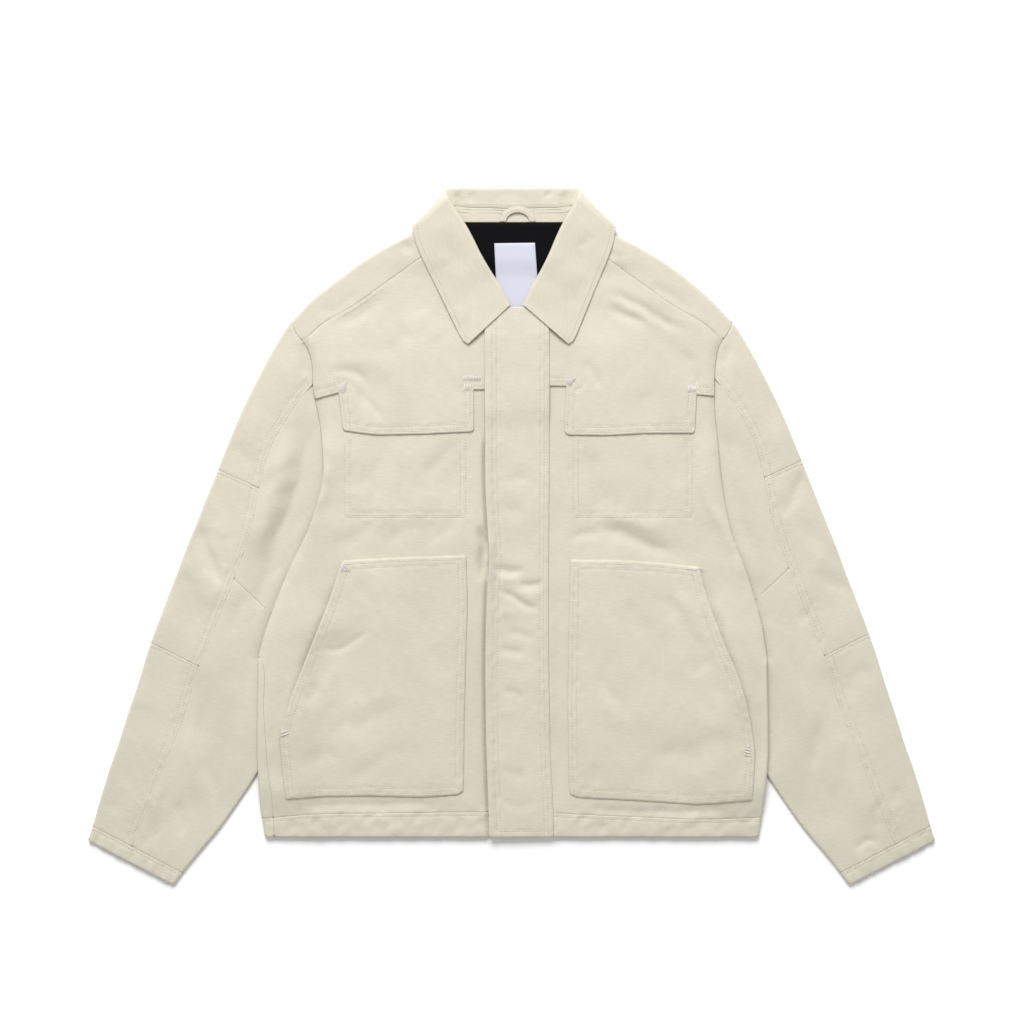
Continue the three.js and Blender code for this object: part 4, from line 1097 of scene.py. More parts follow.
def front_skin(side):
    armpit = ARM_LINE[side][-1]
    top = crossing(ARM_LINE[side], FRONT_TOP_LINE)
    centre_top = np.array((CENTRE_X, FRONT_TOP_Y))
    centre_bottom = crossing(CENTRE_LINE, HEM_LINE)
    if side == "left":
        side_line, kind = SIDE_LINE, "seam"
    else:
        side_line, kind = BODY_LINE["right"], "fold"
    bottom = crossing(side_line, HEM_LINE)
    pocket = closed(LEFT_POCKET_EDGE if side == "left" else RIGHT_POCKET_EDGE)
    outline = [
        ("seam", stretch(HEM_LINE, bottom, centre_bottom)),
        ("hidden", straight([centre_bottom, centre_top])),
        ("hidden", straight([centre_top, top])),
        ("side", stretch(ARM_LINE[side], top, armpit)),
        (kind, stretch(side_line, armpit, bottom)),
    ]
    covered = [(pocket, 1.3), (PLACKET_LINE, 1.3)]
    fine = [PLACKET_EDGE] if side == "left" else []
    return Skin(
        outline, body_top, front_relief, half_height, sunk=covered, rows=chest_rows(side), fine=fine
    )


def chest_rows(side):
    """The two rows that sew down the chest pocket's bag, from under the flap"""
    left, right, bottom = (-192, -53, 22) if side == "left" else (71, 208, 22)
    rows = []
    for gap in (0, 6):
        corners = [(left + gap, 112), (left + gap, bottom + gap), (right - gap, bottom + gap), (right - gap, 112)]
        rows.append(rounded(corners, 3))
    return rows


def hem_skins(part):
    hem_left = crossing(BODY_LINE["left"], HEM_LINE)
    hem_right = crossing(BODY_LINE["right"], HEM_LINE)
    side_top = crossing(SIDE_LINE, HEM_LINE)
    side_bottom = crossing(SIDE_LINE, BOTTOM_LINE)
    centre_top = crossing(CENTRE_LINE, HEM_LINE)
    centre_bottom = np.array((CENTRE_X, HEM_Y))
    corner_left, corner_right = BODY_LINE["left"][0], BODY_LINE["right"][0]
    relief = front_relief

    def band(top_from, top_to, low_to, low_from, first, last, up=True):
        outline = [
            ("edge", straight([low_from, low_to])),
            (last[0], stretch(last[1], low_to, top_to)),
            ("seam", stretch(HEM_LINE, top_to, top_from)),
            (first[0], stretch(first[1], top_from, low_from)),
        ]
        rows = [stretch(HEM_LINE, top_from, top_to) - (0, 3.5)] if up else []
        base, form = (body_top, relief) if up else (back_base, back_relief)
        return Skin(outline, base, form, half_height, up=up, rows=rows)

    fold_left, fold_right = ("fold", BODY_LINE["left"]), ("fold", BODY_LINE["right"])
    centre = ("hidden", CENTRE_LINE)
    if part == "hem_front_left":
        return [band(side_top, centre_top, centre_bottom, side_bottom, ("seam", SIDE_LINE), centre)]
    if part == "hem_front_right":
        return [band(centre_top, hem_right, corner_right, centre_bottom, centre, fold_right)]
    return [
        band(hem_left, side_top, side_bottom, corner_left, fold_left, ("seam", SIDE_LINE)),
        band(hem_left, hem_right, corner_right, corner_left, fold_left, fold_right, up=False),
    ]


def hem_ripple(points):
    x, y = points.T
    ripple = 0.5 * waves(x, y, 17, 9) + 0.3 * waves(x + y, y * 0.4, 24, 10)
    return ripple * smooth(HEM_SEAM_Y - y, -22, 2)


def back_skins():
    """The back, which shows at the photograph's left as a strip beside the side seam"""
    armpit = {side: ARM_LINE[side][-1] for side in ARM_LINE}
    hem = {side: crossing(BODY_LINE[side], HEM_LINE) for side in BODY_LINE}
    yoke = {side: crossing(ARM_LINE[side], BACK_SEAM_LINE) for side in ARM_LINE}
    side_bottom = crossing(SIDE_LINE, HEM_LINE)
    strip = Skin(
        [
            ("seam", stretch(HEM_LINE, hem["left"], side_bottom)),
            ("seam", stretch(SIDE_LINE, side_bottom, armpit["left"])),
            ("fold", stretch(BODY_LINE["left"], armpit["left"], hem["left"])),
        ],
        body_top, front_relief, half_height,
    )
    under = Skin(
        [
            ("seam", stretch(HEM_LINE, hem["left"], hem["right"])),
            ("fold", stretch(BODY_LINE["right"], hem["right"], armpit["right"])),
            ("seam", stretch(ARM_LINE["right"], armpit["right"], yoke["right"])),
            ("seam", stretch(BACK_SEAM_LINE, yoke["right"], yoke["left"])),
            ("seam", stretch(ARM_LINE["left"], yoke["left"], armpit["left"])),
            ("fold", stretch(BODY_LINE["left"], armpit["left"], hem["left"])),
        ],
        back_base, back_relief, half_height, up=False,
    )
    return [strip, under]


def shoulder_skin(side):
    sign = -1 if side == "left" else 1
    tip = crossing(ARM_LINE[side], BODY_LINE[side])
    joint = crossing(ARM_LINE[side], SHOULDER_LINE[side])
    neck = SHOULDER_LINE[side][-1]
    end = BODY_LINE[side][-1]
    corner = np.array((SHOULDER_AXIS_X * (sign + 1) + sign * -NECK_POINT_X, 352.0))
    outline = [
        ("seam", stretch(ARM_LINE[side], tip, joint)),
        ("seam", stretch(SHOULDER_LINE[side], joint, neck)),
        ("hidden", straight([neck, corner, end])),
        ("fold", stretch(BODY_LINE[side], end, tip)),
    ]
    rows = [offset(stretch(SHOULDER_LINE[side], joint, neck), -sign * 4 * -1)]
    return Skin(outline, body_top, body_relief(SHOULDER_CREASES), half_height, rows=rows)


def back_yoke_skins():
    tip = {side: crossing(ARM_LINE[side], BODY_LINE[side]) for side in ARM_LINE}
    seam = {side: crossing(ARM_LINE[side], BACK_SEAM_LINE) for side in ARM_LINE}
    end = {side: BODY_LINE[side][-1] for side in BODY_LINE}
    under = Skin(
        [
            ("seam", stretch(BACK_SEAM_LINE, seam["left"], seam["right"])),
            ("seam", stretch(ARM_LINE["right"], seam["right"], tip["right"])),
            ("fold", stretch(BODY_LINE["right"], tip["right"], end["right"])),
            ("hidden", straight([end["right"], end["left"]])),
            ("fold", stretch(BODY_LINE["left"], end["left"], tip["left"])),
            ("seam", stretch(ARM_LINE["left"], tip["left"], seam["left"])),
        ],
        back_base, back_relief, half_height, up=False,
    )
    return [shoulder_skin("left"), shoulder_skin("right"), under]


def yoke_lap(points):
    return LAP * (1 - smooth(points[:, 1], 215, 262))


def yoke_skin(side):
    joint = crossing(ARM_LINE[side], SHOULDER_LINE[side])
    neck = SHOULDER_LINE[side][-1]
    neckline = curve(NECKLINE) if side == "left" else curve(NECKLINE_RIGHT[::-1])
    if side == "left":
        flap = rounded(LEFT_FLAP_EDGE, 4)
        outer, inner = (-224, 158.5), (CENTRE_X, 170)
        low = [(-199, 165), (-224, 158.5), (-290, 158.5)]
        first, last = flap[-1], flap[0]
    else:
        flap = rounded(RIGHT_FLAP_EDGE, 4)[::-1]
        inner = (CENTRE_X, 173)
        low = [(213, 163), (232, 161.6), (290, 161.6)]
        first, last = flap[-1], flap[0]
    low_line = straight(low)
    arm_low = crossing(ARM_LINE[side], low_line)
    outline = [
        ("flush", stretch(low_line, arm_low, first)),
        ("edge", flap[::-1]),
        ("flush", straight([last, inner])),
        ("hidden", straight([inner, (CENTRE_X, 261), neckline[-1]])),
        ("hidden", neckline[::-1]),
        ("seam", stretch(SHOULDER_LINE[side], neck, joint)),
        ("side", stretch(ARM_LINE[side], joint, arm_low)),
    ]
    turn = 1 if side == "left" else -1
    rows = [
        offset(np.vstack([stretch(low_line, arm_low, first), flap[::-1], straight([last, inner])]), turn * gap)
        for gap in (3.5, 9.5)
    ]
    rows = [trimmed(row, closed(outline), 3) for row in rows]
    base = lambda points: body_top(points) + yoke_lap(points)
    covered = [(PLACKET_LINE, 1.2)]
    return Skin(outline, base, body_relief(YOKE_CREASES), half_height, rows=rows, sunk=covered)


def placket_lap(points):
    y = points[:, 1]
    return SEAM + CLOTH + LAP * smooth(y, 120, 148) * (1 - smooth(y, 225, 262))


def placket_skin():
    outline = [
        ("edge", curve(PLACKET_LEFT)),
        ("edge", straight([PLACKET_LEFT[-1], PLACKET_RIGHT[0]])),
        ("sewn", curve(PLACKET_RIGHT)),
        ("edge", straight([PLACKET_RIGHT[-1], PLACKET_LEFT[0]])),
    ]
    rows = [offset(curve(PLACKET_LEFT), gap) for gap in (8.5, 13.5)]
    rows += [offset(curve(PLACKET_RIGHT), gap) for gap in (6, 11)]
    rows.append(straight([(-17, HEM_Y + 7), (38, HEM_Y + 7)]))
    base = lambda points: body_top(points) + placket_lap(points) + placket_lift(points)
    return Skin(outline, base, body_relief(PLACKET_CREASES), rows=rows)


def placket_lift(points):
    """The free edge stands up where the crossing folds pull on it"""
    x, y = points.T
    gape = PLACKET_LIFT * np.exp(-(((y + 22) / 26) ** 2)) * np.exp(-(((x + 27) / 9) ** 2))
    stands_off = 1 - smooth(y, 130, 190)
    return gape + PLACKET_EDGE_LIFT * stands_off * np.exp(-(((x + 29) / 8) ** 2))


def pocket_skin(outline, mouth, creases, bias):
    """A hand pocket, whose slanted mouth stands a little open"""
    def base(points):
        gaps, along = nearest(points, np.array(mouth, float))
        gape = 1.6 * np.sin(np.clip(along, 0, 1) * math.pi) ** 1.5 * np.exp(-((gaps / 14) ** 2))
        return body_top(points) + SEAM + CLOTH + gape

    rows = inner_rows(outline, (4.5, 10))
    return Skin(outline, base, body_relief(creases), rows=rows)


def sleeve_lines(side):
    """The lines of one sleeve, on its own side of the jacket"""
    sign = -1 if side == "left" else 1
    shift = SEAM_SHIFT[side]
    place = lambda points, move=0: curve([(sign * x, y + move) for x, y in points])
    return {
        "arm": ARM_LINE[side],
        "inner": place(SLEEVE_INNER),
        "outer": place(SLEEVE_OUTER),
        "long": place(LONG_SEAM, shift),
        "upper_elbow": place(UPPER_ELBOW_SEAM, shift),
        "lower_elbow": place(LOWER_ELBOW_SEAM, shift),
        "cross": place(CROSS_SEAM, shift),
        "cuff": place(CUFF_SEAM),
    }


def sleeve_corners(line):
    return {
        "tip": crossing(line["arm"], line["outer"]),
        "top": crossing(line["arm"], line["long"]),
        "elbow_in": line["upper_elbow"][0],
        "elbow_out": crossing(line["upper_elbow"], line["outer"]),
        "fore_in": line["lower_elbow"][0],
        "fore_out": crossing(line["lower_elbow"], line["outer"]),
        "cross_out": line["cross"][0],
        "cross_in": crossing(line["cross"], line["arm"]),
        "armpit": line["arm"][-1],
        "cuff_out": crossing(line["cuff"], line["outer"]),
        "cuff_mid": crossing(line["cuff"], line["long"]),
        "cuff_in": crossing(line["cuff"], line["inner"]),
        "end_in": line["inner"][-1],
        "end_out": line["outer"][-1],
    }


def sleeve_skins(side):
    """The faces of each piece of one sleeve"""
    line = sleeve_lines(side)
    at = sleeve_corners(line)
    tucked = nearest_point(line["inner"], at["armpit"])
    run = lambda name, start, end: stretch(line[name], at[start], at[end])
    half = lambda points: sleeve_height(points) / 2
    zero = lambda points: np.zeros(len(points))
    relief = lambda points: (
        0.85 * body_wave(points) + creases_rise(points, SLEEVE_CREASES[side]) + cuff_pucker(points)
    )

    def row_beside(name, start, end, distances):
        seam = run(name, start, end)
        sign = 1 if side == "left" else -1
        return [offset(seam, sign * gap) for gap in distances]

    def skin(outline, up=True, rows=()):
        inside = [row[contains(closed(outline), row)] for row in rows]
        inside = [row for row in inside if len(row) > 3]
        if up:
            return Skin(outline, sleeve_height, relief, half, rows=inside)
        return Skin(outline, zero, back_relief, half, up=False)

    upper = [
        ("seam", run("arm", "tip", "top")), ("flat", run("long", "top", "elbow_in")),
        ("seam", run("upper_elbow", "elbow_in", "elbow_out")), ("fold", run("outer", "elbow_out", "tip")),
    ]
    elbow = [
        ("flat", run("long", "elbow_in", "fore_in")), ("seam", run("lower_elbow", "fore_in", "fore_out")),
        ("fold", run("outer", "fore_out", "elbow_out")), ("seam", run("upper_elbow", "elbow_out", "elbow_in")),
    ]
    fore = [
        ("flat", run("long", "fore_in", "cuff_mid")), ("seam", run("cuff", "cuff_mid", "cuff_out")),
        ("fold", run("outer", "cuff_out", "fore_out")), ("seam", run("lower_elbow", "fore_out", "fore_in")),
    ]
    under_upper = [
        ("flat", run("long", "top", "cross_out")), ("seam", run("cross", "cross_out", "cross_in")),
        ("tucked", run("arm", "cross_in", "top")),
    ]
    tuck = [
        ("tucked", run("arm", "cross_in", "armpit")), ("hidden", straight([at["armpit"], tucked])),
        ("fold", stretch(line["inner"], tucked, at["cuff_in"])),
    ]
    under_lower = [
        ("seam", run("cross", "cross_out", "cross_in")), *tuck,
        ("seam", run("cuff", "cuff_in", "cuff_mid")), ("flat", run("long", "cuff_mid", "cross_out")),
    ]
    under_back = [
        ("seam", run("arm", "top", "armpit")), *tuck[1:],
        ("seam", run("cuff", "cuff_in", "cuff_mid")), ("flat", run("long", "cuff_mid", "top")),
    ]
    band = [
        ("seam", run("cuff", "cuff_in", "cuff_out")), ("fold", run("outer", "cuff_out", "end_out")),
        ("edge", straight([at["end_out"], at["end_in"]])), ("fold", run("inner", "end_in", "cuff_in")),
    ]
    outward = (3.2, 9)
    long_rows = row_beside("long", "top", "cuff_mid", [-gap for gap in outward])
    elbow_rows = row_beside("upper_elbow", "elbow_in", "elbow_out", [3])
    fore_rows = row_beside("lower_elbow", "fore_in", "fore_out", [3])
    cross_rows = row_beside("cross", "cross_out", "cross_in", [3])
    cuff_rows = row_beside("cuff", "cuff_in", "cuff_out", [-3, 3])
    return {
        "sleeve_upper": [skin(upper, rows=long_rows), skin(upper, up=False)],
        "elbow_panel": [skin(elbow, rows=long_rows + elbow_rows), skin(elbow, up=False)],
        "forearm_panel": [skin(fore, rows=long_rows + fore_rows), skin(fore, up=False)],
        "underarm_upper": [skin(under_upper)],
        "underarm_lower": [skin(under_lower, rows=cross_rows)],
        "underarm_back": [skin(under_back, up=False)],
        "cuff_band": [skin(band, rows=cuff_rows), skin(band, up=False)],
    }


def nearest_point(line, point):
    return line[np.argmin(np.hypot(*(line - point).T))]


def collar_mirror(row):
    def across(point):
        x, y = point
        down = (COLLAR_TOP_Y - y) / (COLLAR_TOP_Y - COLLAR_TIP_Y)
        return (2 * (COLLAR_AXIS_TOP_X + (COLLAR_AXIS_TIP_X - COLLAR_AXIS_TOP_X) * down) - x, y)

    return {**{name: across(row[name]) for name in COLLAR_COLUMNS}, "front": row["front"]}


def collar_rows(step):
    """Sections of the collar, close together, from the left leaf's front round to the right one's"""
    rows = COLLAR_ROWS + [COLLAR_BACK_ROW] + [collar_mirror(row) for row in COLLAR_ROWS[::-1]]
    table = np.array([[*row["neck"], *row["seam"], *row["roll"], *row["edge"], 60 * row["front"]] for row in rows])
    return curve(table, step)


def mix(first, second, share):
    return first + (second - first) * share


def stand_z(points, front):
    return mix(NECK_Z, body_lift(points) + BODY_HEIGHT - CLOTH / 2, front)


def leaf_z(points):
    on_placket = 1 - smooth(np.abs(points[:, 0] - CENTRE_X), PLACKET_REACH - 14, PLACKET_REACH)
    layers = on_placket * LAP + yoke_lap(points)
    return body_top(points) + layers + COLLAR_EDGE_LIFT + COLLAR_WALL / 2


def resampled(points, count):
    """The same line with evenly spaced points"""
    lengths = np.concatenate([[0], np.cumsum(np.linalg.norm(np.diff(points, axis=0), axis=1))])
    at = np.linspace(0, lengths[-1], count)
    return np.stack([np.interp(at, lengths, column) for column in points.T], 1)


def fall_section(row, count):
    seam_plan, roll_plan, edge_plan = row[2:4], row[4:6], row[6:8]
    front = float(np.clip(row[8] / 60, 0, 1))
    seam_z = stand_z(seam_plan[None], front)[0]
    edge_z = mix(BEHIND_Z, leaf_z(edge_plan[None])[0], front)
    top_z = mix(BEHIND_Z, seam_z + ROLL_RISE, front)
    reach = max(abs(top_z - seam_z) / 2, ROLL_LEAST)

    def toward(target, z):
        flat = target - roll_plan
        return np.array([*(roll_plan + flat / max(np.hypot(*flat), 1e-6) * reach), z])

    seam = np.array([*seam_plan, seam_z])
    edge = np.array([*edge_plan, edge_z])
    roll = np.array([*roll_plan, (seam_z + top_z) / 2])
    rise = toward(edge_plan, top_z)
    bend = []
    for angle in np.linspace(-70, 70, 7):
        a = math.radians(angle)
        side = seam_plan if angle < 0 else edge_plan
        flat = side - roll_plan
        out = roll_plan + flat / max(np.hypot(*flat), 1e-6) * reach * (1 - math.cos(a))
        bend.append(np.array([*out, roll[2] + (top_z - seam_z) / 2 * math.sin(a)]))
    points = [seam, mix(seam, roll, FALL_START), toward(seam_plan, seam_z), *bend, rise]
    leaf = []
    for share in np.linspace(0.06, 1, 16):
        point = mix(rise, edge, share)
        floor = leaf_z(point[None, :2])[0]
        point[2] = mix(point[2], max(point[2], floor), smooth(front, 0.7, 1))
        leaf.append(point)
    points += leaf
    return resampled(np.array(points), count)


def stand_section(row, count):
    front = float(np.clip(row[8] / 60, 0, 1))
    ends = [np.array([*plan, stand_z(plan[None], front)[0]]) for plan in (row[0:2], row[2:4])]
    gap = ends[1] - ends[0]
    length = np.linalg.norm(gap)
    inset = min(STAND_GAP, length / 4) / length
    return np.array([mix(ends[0], ends[1], share) for share in np.linspace(inset, 1 - inset, count)])


def grid_piece(name, grid, wall, material, relief=None, bevel=0.5):
    """A shell about a grid of middle points, with rounded edges"""
    rows, columns, _ = grid.shape
    points = grid.reshape(-1, 3).copy()
    if relief is not None:
        points[:, 2] += relief(points)
    index = np.arange(rows * columns).reshape(rows, columns)
    faces = [
        (int(index[i, j]), int(index[i, j + 1]), int(index[i + 1, j + 1]), int(index[i + 1, j]))
        for i in range(rows - 1) for j in range(columns - 1)
    ]
    obj = new_mesh_object(name + "_cloth", points * MM, faces, material)
    across = np.linalg.norm(np.diff(grid, axis=1), axis=2)
    along = np.linalg.norm(np.diff(grid, axis=0), axis=2)
    v = np.concatenate([np.zeros((rows, 1)), np.cumsum(across, axis=1)], axis=1)
    u = np.concatenate([[0], np.cumsum(along.mean(axis=1))])[:, None] * np.ones((1, columns))
    layer = obj.data.uv_layers.new(name="cloth")
    corners = np.zeros(len(obj.data.loops), np.int32)
    obj.data.loops.foreach_get("vertex_index", corners)
    layer.data.foreach_set("uv", (np.stack([u.ravel(), v.ravel()], 1)[corners] * MM).ravel())
    thicken = obj.modifiers.new("Wall", "SOLIDIFY")
    thicken.thickness = wall * MM
    thicken.offset = 0
    soften = obj.modifiers.new("Edges", "BEVEL")
    soften.width = bevel * MM
    soften.segments = 2
    soften.limit_method = "ANGLE"
    soften.angle_limit = math.radians(50)
    apply_modifiers(obj)
    area = float((across[:-1] * along[:, :-1]).sum()) * MM * MM
    flat = (float(u.max()) * MM, float(v.max()) * MM)
    area = min(area, flat[0] * flat[1])
    least = NARROWEST_SHEET * MM
    flat = (max(flat[0], least), max(flat[1], least))
    return finished(obj, name, flat, max(area, LEAST_SHARE * flat[0] * flat[1]))


STITCH_ROWS = {"body": [], "pockets": [], "sleeves": [], "collar": []}
TOP_SKINS = {}


def note_rows(group, skins):
    """Keeps the rows of a piece's upper face for the stitching, at the cloth's height"""
    for skin in skins:
        if not skin.up:
            continue
        for row in skin.rows:
            line = straight(row, 2.6)
            z = skin.height(line) + 0.12
            STITCH_ROWS[group].append(np.column_stack([line, z]))


def stitch_tree():
    """Stitches along the edges of a mesh: each a short thread that lies along the row, and half a pitch on a dark dot
    of painted shade for the needle hole's shadow
    """
    tree = bpy.data.node_groups.new("stitch_rows", "GeometryNodeTree")
    face = tree.interface
    face.new_socket("Rows", in_out="INPUT", socket_type="NodeSocketGeometry")
    for name in ("Pitch", "Length", "Width", "Hole"):
        face.new_socket(name, in_out="INPUT", socket_type="NodeSocketFloat")
    for name in ("Thread", "Painted Shade Cloth"):
        face.new_socket(name, in_out="INPUT", socket_type="NodeSocketMaterial")
    face.new_socket("Stitches", in_out="OUTPUT", socket_type="NodeSocketGeometry")
    given = add_node(tree, "NodeGroupInput").outputs
    lines = add_node(tree, "GeometryNodeMeshToCurve", links={"Mesh": given["Rows"]})
    places = add_node(
        tree, "GeometryNodeCurveToPoints", {"mode": "LENGTH"},
        links={"Curve": lines.outputs["Curve"], "Length": given["Pitch"]},
    )
    half = add_node(tree, "ShaderNodeMath", {"operation": "MULTIPLY"}, {1: 0.5}, {0: given["Length"]})
    thin = add_node(tree, "ShaderNodeMath", {"operation": "MULTIPLY"}, {1: 0.5}, {0: given["Width"]})
    size = add_node(
        tree, "ShaderNodeCombineXYZ",
        links={"X": thin.outputs["Value"], "Y": thin.outputs["Value"], "Z": half.outputs["Value"]},
    )
    bead = add_node(tree, "GeometryNodeMeshUVSphere", inputs={"Segments": 6, "Rings": 4, "Radius": 1.0})
    thread = add_node(
        tree, "GeometryNodeTransform", links={"Geometry": bead.outputs["Mesh"], "Scale": size.outputs["Vector"]}
    )
    thread = add_node(
        tree, "GeometryNodeSetMaterial", links={"Geometry": thread.outputs["Geometry"], "Material": given["Thread"]}
    )
    # A dark dot half a pitch on from each thread: painted shade that stands in for the needle hole's shadow
    half_pitch = add_node(tree, "ShaderNodeMath", {"operation": "MULTIPLY"}, {1: 0.5}, {0: given["Pitch"]})
    between = add_node(tree, "ShaderNodeCombineXYZ", links={"Z": half_pitch.outputs["Value"]})
    dot = add_node(tree, "GeometryNodeMeshIcoSphere", links={"Radius": given["Hole"]})
    painted_hole_shade = add_node(
        tree, "GeometryNodeTransform", links={"Geometry": dot.outputs["Mesh"], "Translation": between.outputs["Vector"]}
    )
    painted_hole_shade = add_node(
        tree, "GeometryNodeSetMaterial",
        links={"Geometry": painted_hole_shade.outputs["Geometry"], "Material": given["Painted Shade Cloth"]},
    )
    stitch = add_node(tree, "GeometryNodeJoinGeometry")
    for part in (thread, painted_hole_shade):
        tree.links.new(part.outputs["Geometry"], stitch.inputs["Geometry"])
    placed = add_node(
        tree, "GeometryNodeInstanceOnPoints",
        links={
            "Points": places.outputs["Points"], "Instance": stitch.outputs["Geometry"],
            "Rotation": places.outputs["Rotation"],
        },
    )
    real = add_node(tree, "GeometryNodeRealizeInstances", links={"Geometry": placed.outputs["Instances"]})
    add_node(tree, "NodeGroupOutput", links={"Stitches": real.outputs["Geometry"]})
    return tree


def stitch_piece(name, rows):
    """The stitches of several rows as one mesh on the body"""
    verts, edges = [], []
    for row in rows:
        first = len(verts)
        verts += row.tolist()
        edges += [(first + i, first + i + 1) for i in range(len(row) - 1)]
    mesh = bpy.data.meshes.new(name)
    mesh.from_pydata((np.array(verts) * MM).tolist(), edges, [])
    obj = bpy.data.objects.new(name, mesh)
    bpy.context.scene.collection.objects.link(obj)
    tree = bpy.data.node_groups.get("stitch_rows") or stitch_tree()
    modifier = obj.modifiers.new("Stitches", "NODES")
    modifier.node_group = tree
    size = sizes()
    values = {
        "Pitch": size.stitch_pitch, "Length": size.stitch_length, "Width": size.stitch_width,
        "Hole": size.needle_hole_shade_radius, "Thread": thread_cloth(), "Painted Shade Cloth": painted_hole_shade_cloth(),
    }
    for item in tree.interface.items_tree:
        if item.in_out == "INPUT" and item.name in values:
            modifier[item.identifier] = values[item.name]
    apply_modifiers(obj)
    obj.data.shade_smooth()
    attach(obj, "root")
    return obj


def tack_threads(tack):
    """Start and end of each thread of a tack, side by side across its patch"""
    wide, tall = tack["size"]
    turn = math.radians(tack["turn"])
    threads = []
    for share in np.linspace(-0.5, 0.5, tack["threads"]):
        reach = tall / 2 * (1 - abs(tack["taper"]) * (0.5 + share if tack["taper"] > 0 else abs(2 * share)))
        ends = np.array([(share * wide, -reach), (share * wide + 0.5 * wide / tack["threads"], reach)])
        spun = ends @ np.array([[math.cos(turn), math.sin(turn)], [-math.sin(turn), math.cos(turn)]])
        plan = spun + tack["at"]
        z = TOP_SKINS[tack["on"]].height(plan) + 0.5
        threads.append(np.column_stack([plan, z]))
    return threads


def thread_mesh(threads, width, sides=6, rings=7):
    """Slender threads, thick in the middle, as one mesh from arrays"""
    verts, faces = [], []
    for start, end in threads:
        along = (end - start) / np.linalg.norm(end - start)
        across = np.cross(along, (0, 0, 1))
        upward = np.cross(across, along)
        first = len(verts)
        for i in range(rings):
            share = (i + 0.35) / (rings - 0.3)
            radius = width / 2 * math.sqrt(1 - (2 * share - 1) ** 2 * 0.95)
            for j in range(sides):
                a = 2 * math.pi * j / sides
                spot = mix(start, end, share) + radius * (across * math.cos(a) + upward * math.sin(a))
                verts.append(spot + (0, 0, 0.35 * math.sin(math.pi * share)))
        for i in range(rings - 1):
            for j in range(sides):
                a, b = first + i * sides + j, first + i * sides + (j + 1) % sides
                faces.append((a, b, b + sides, a + sides))
        faces.append(tuple(first + j for j in range(sides))[::-1])
        faces.append(tuple(first + (rings - 1) * sides + j for j in range(sides)))
    return np.array(verts), faces


class JacketOperator(bpy.types.Operator):
    bl_options = {"REGISTER", "UNDO"}

    def execute(self, context):
        self.make()
        return {"FINISHED"}


class JACKET_OT_back(JacketOperator):
    """Make the back, its yoke over the shoulders and its hem band"""

    bl_idname = "jacket.back"
    bl_label = "Back"

    def make(self):
        cloth_piece("back_panel", back_skins())
        skins = back_yoke_skins()
        note_rows("body", skins)
        cloth_piece("back_yoke", skins)
        cloth_piece("hem_back", hem_skins("hem_back"))


class JACKET_OT_fronts(JacketOperator):
    """Make the two fronts, with the rows of the chest pockets, and their hem bands"""

    bl_idname = "jacket.fronts"
    bl_label = "Fronts"

    def make(self):
        for side in ("left", "right"):
            skin = front_skin(side)
            note_rows("body", [skin])
            cloth_piece("front_" + side, [skin])
            hem = hem_skins("hem_front_" + side)
            note_rows("body", hem)
            cloth_piece("hem_front_" + side, hem)


class JACKET_OT_yokes(JacketOperator):
    """Make the front yokes, cut in one with the pocket flaps"""

    bl_idname = "jacket.yokes"
    bl_label = "Front yokes"

    def make(self):
        for side in ("left", "right"):
            skin = yoke_skin(side)
            TOP_SKINS["front_yoke_" + side] = skin
            note_rows("body", [skin])
            cloth_piece("front_yoke_" + side, [skin])


class JACKET_OT_placket(JacketOperator):
    """Make the placket that covers the closure"""

    bl_idname = "jacket.placket"
    bl_label = "Placket"

    def make(self):
        skin = placket_skin()
        note_rows("pockets", [skin])
        cloth_piece("placket", [skin])


class JACKET_OT_pockets(JacketOperator):
    """Make the hand pockets with their slanted mouths"""

    bl_idname = "jacket.pockets"
    bl_label = "Hand pockets"

    def make(self):
        left = pocket_skin(LEFT_POCKET_EDGE, LEFT_POCKET["mouth"], LEFT_POCKET_CREASES, 1)
        right = pocket_skin(RIGHT_POCKET_EDGE, RIGHT_POCKET["mouth"], RIGHT_POCKET_CREASES, -1)
        for side, skin in (("left", left), ("right", right)):
            TOP_SKINS["hand_pocket_" + side] = skin
            note_rows("pockets", [skin])
            cloth_piece("hand_pocket_" + side, [skin])


class JACKET_OT_sleeves(JacketOperator):
    """Make the pieces of both sleeves"""

    bl_idname = "jacket.sleeves"
    bl_label = "Sleeves"

    def make(self):
        for side in ("left", "right"):
            grain = SLEEVE_SLANT if side == "right" else -SLEEVE_SLANT
            for name, skins in sleeve_skins(side).items():
                note_rows("sleeves", skins)
                cloth_piece(name + "_" + side, skins, grain)


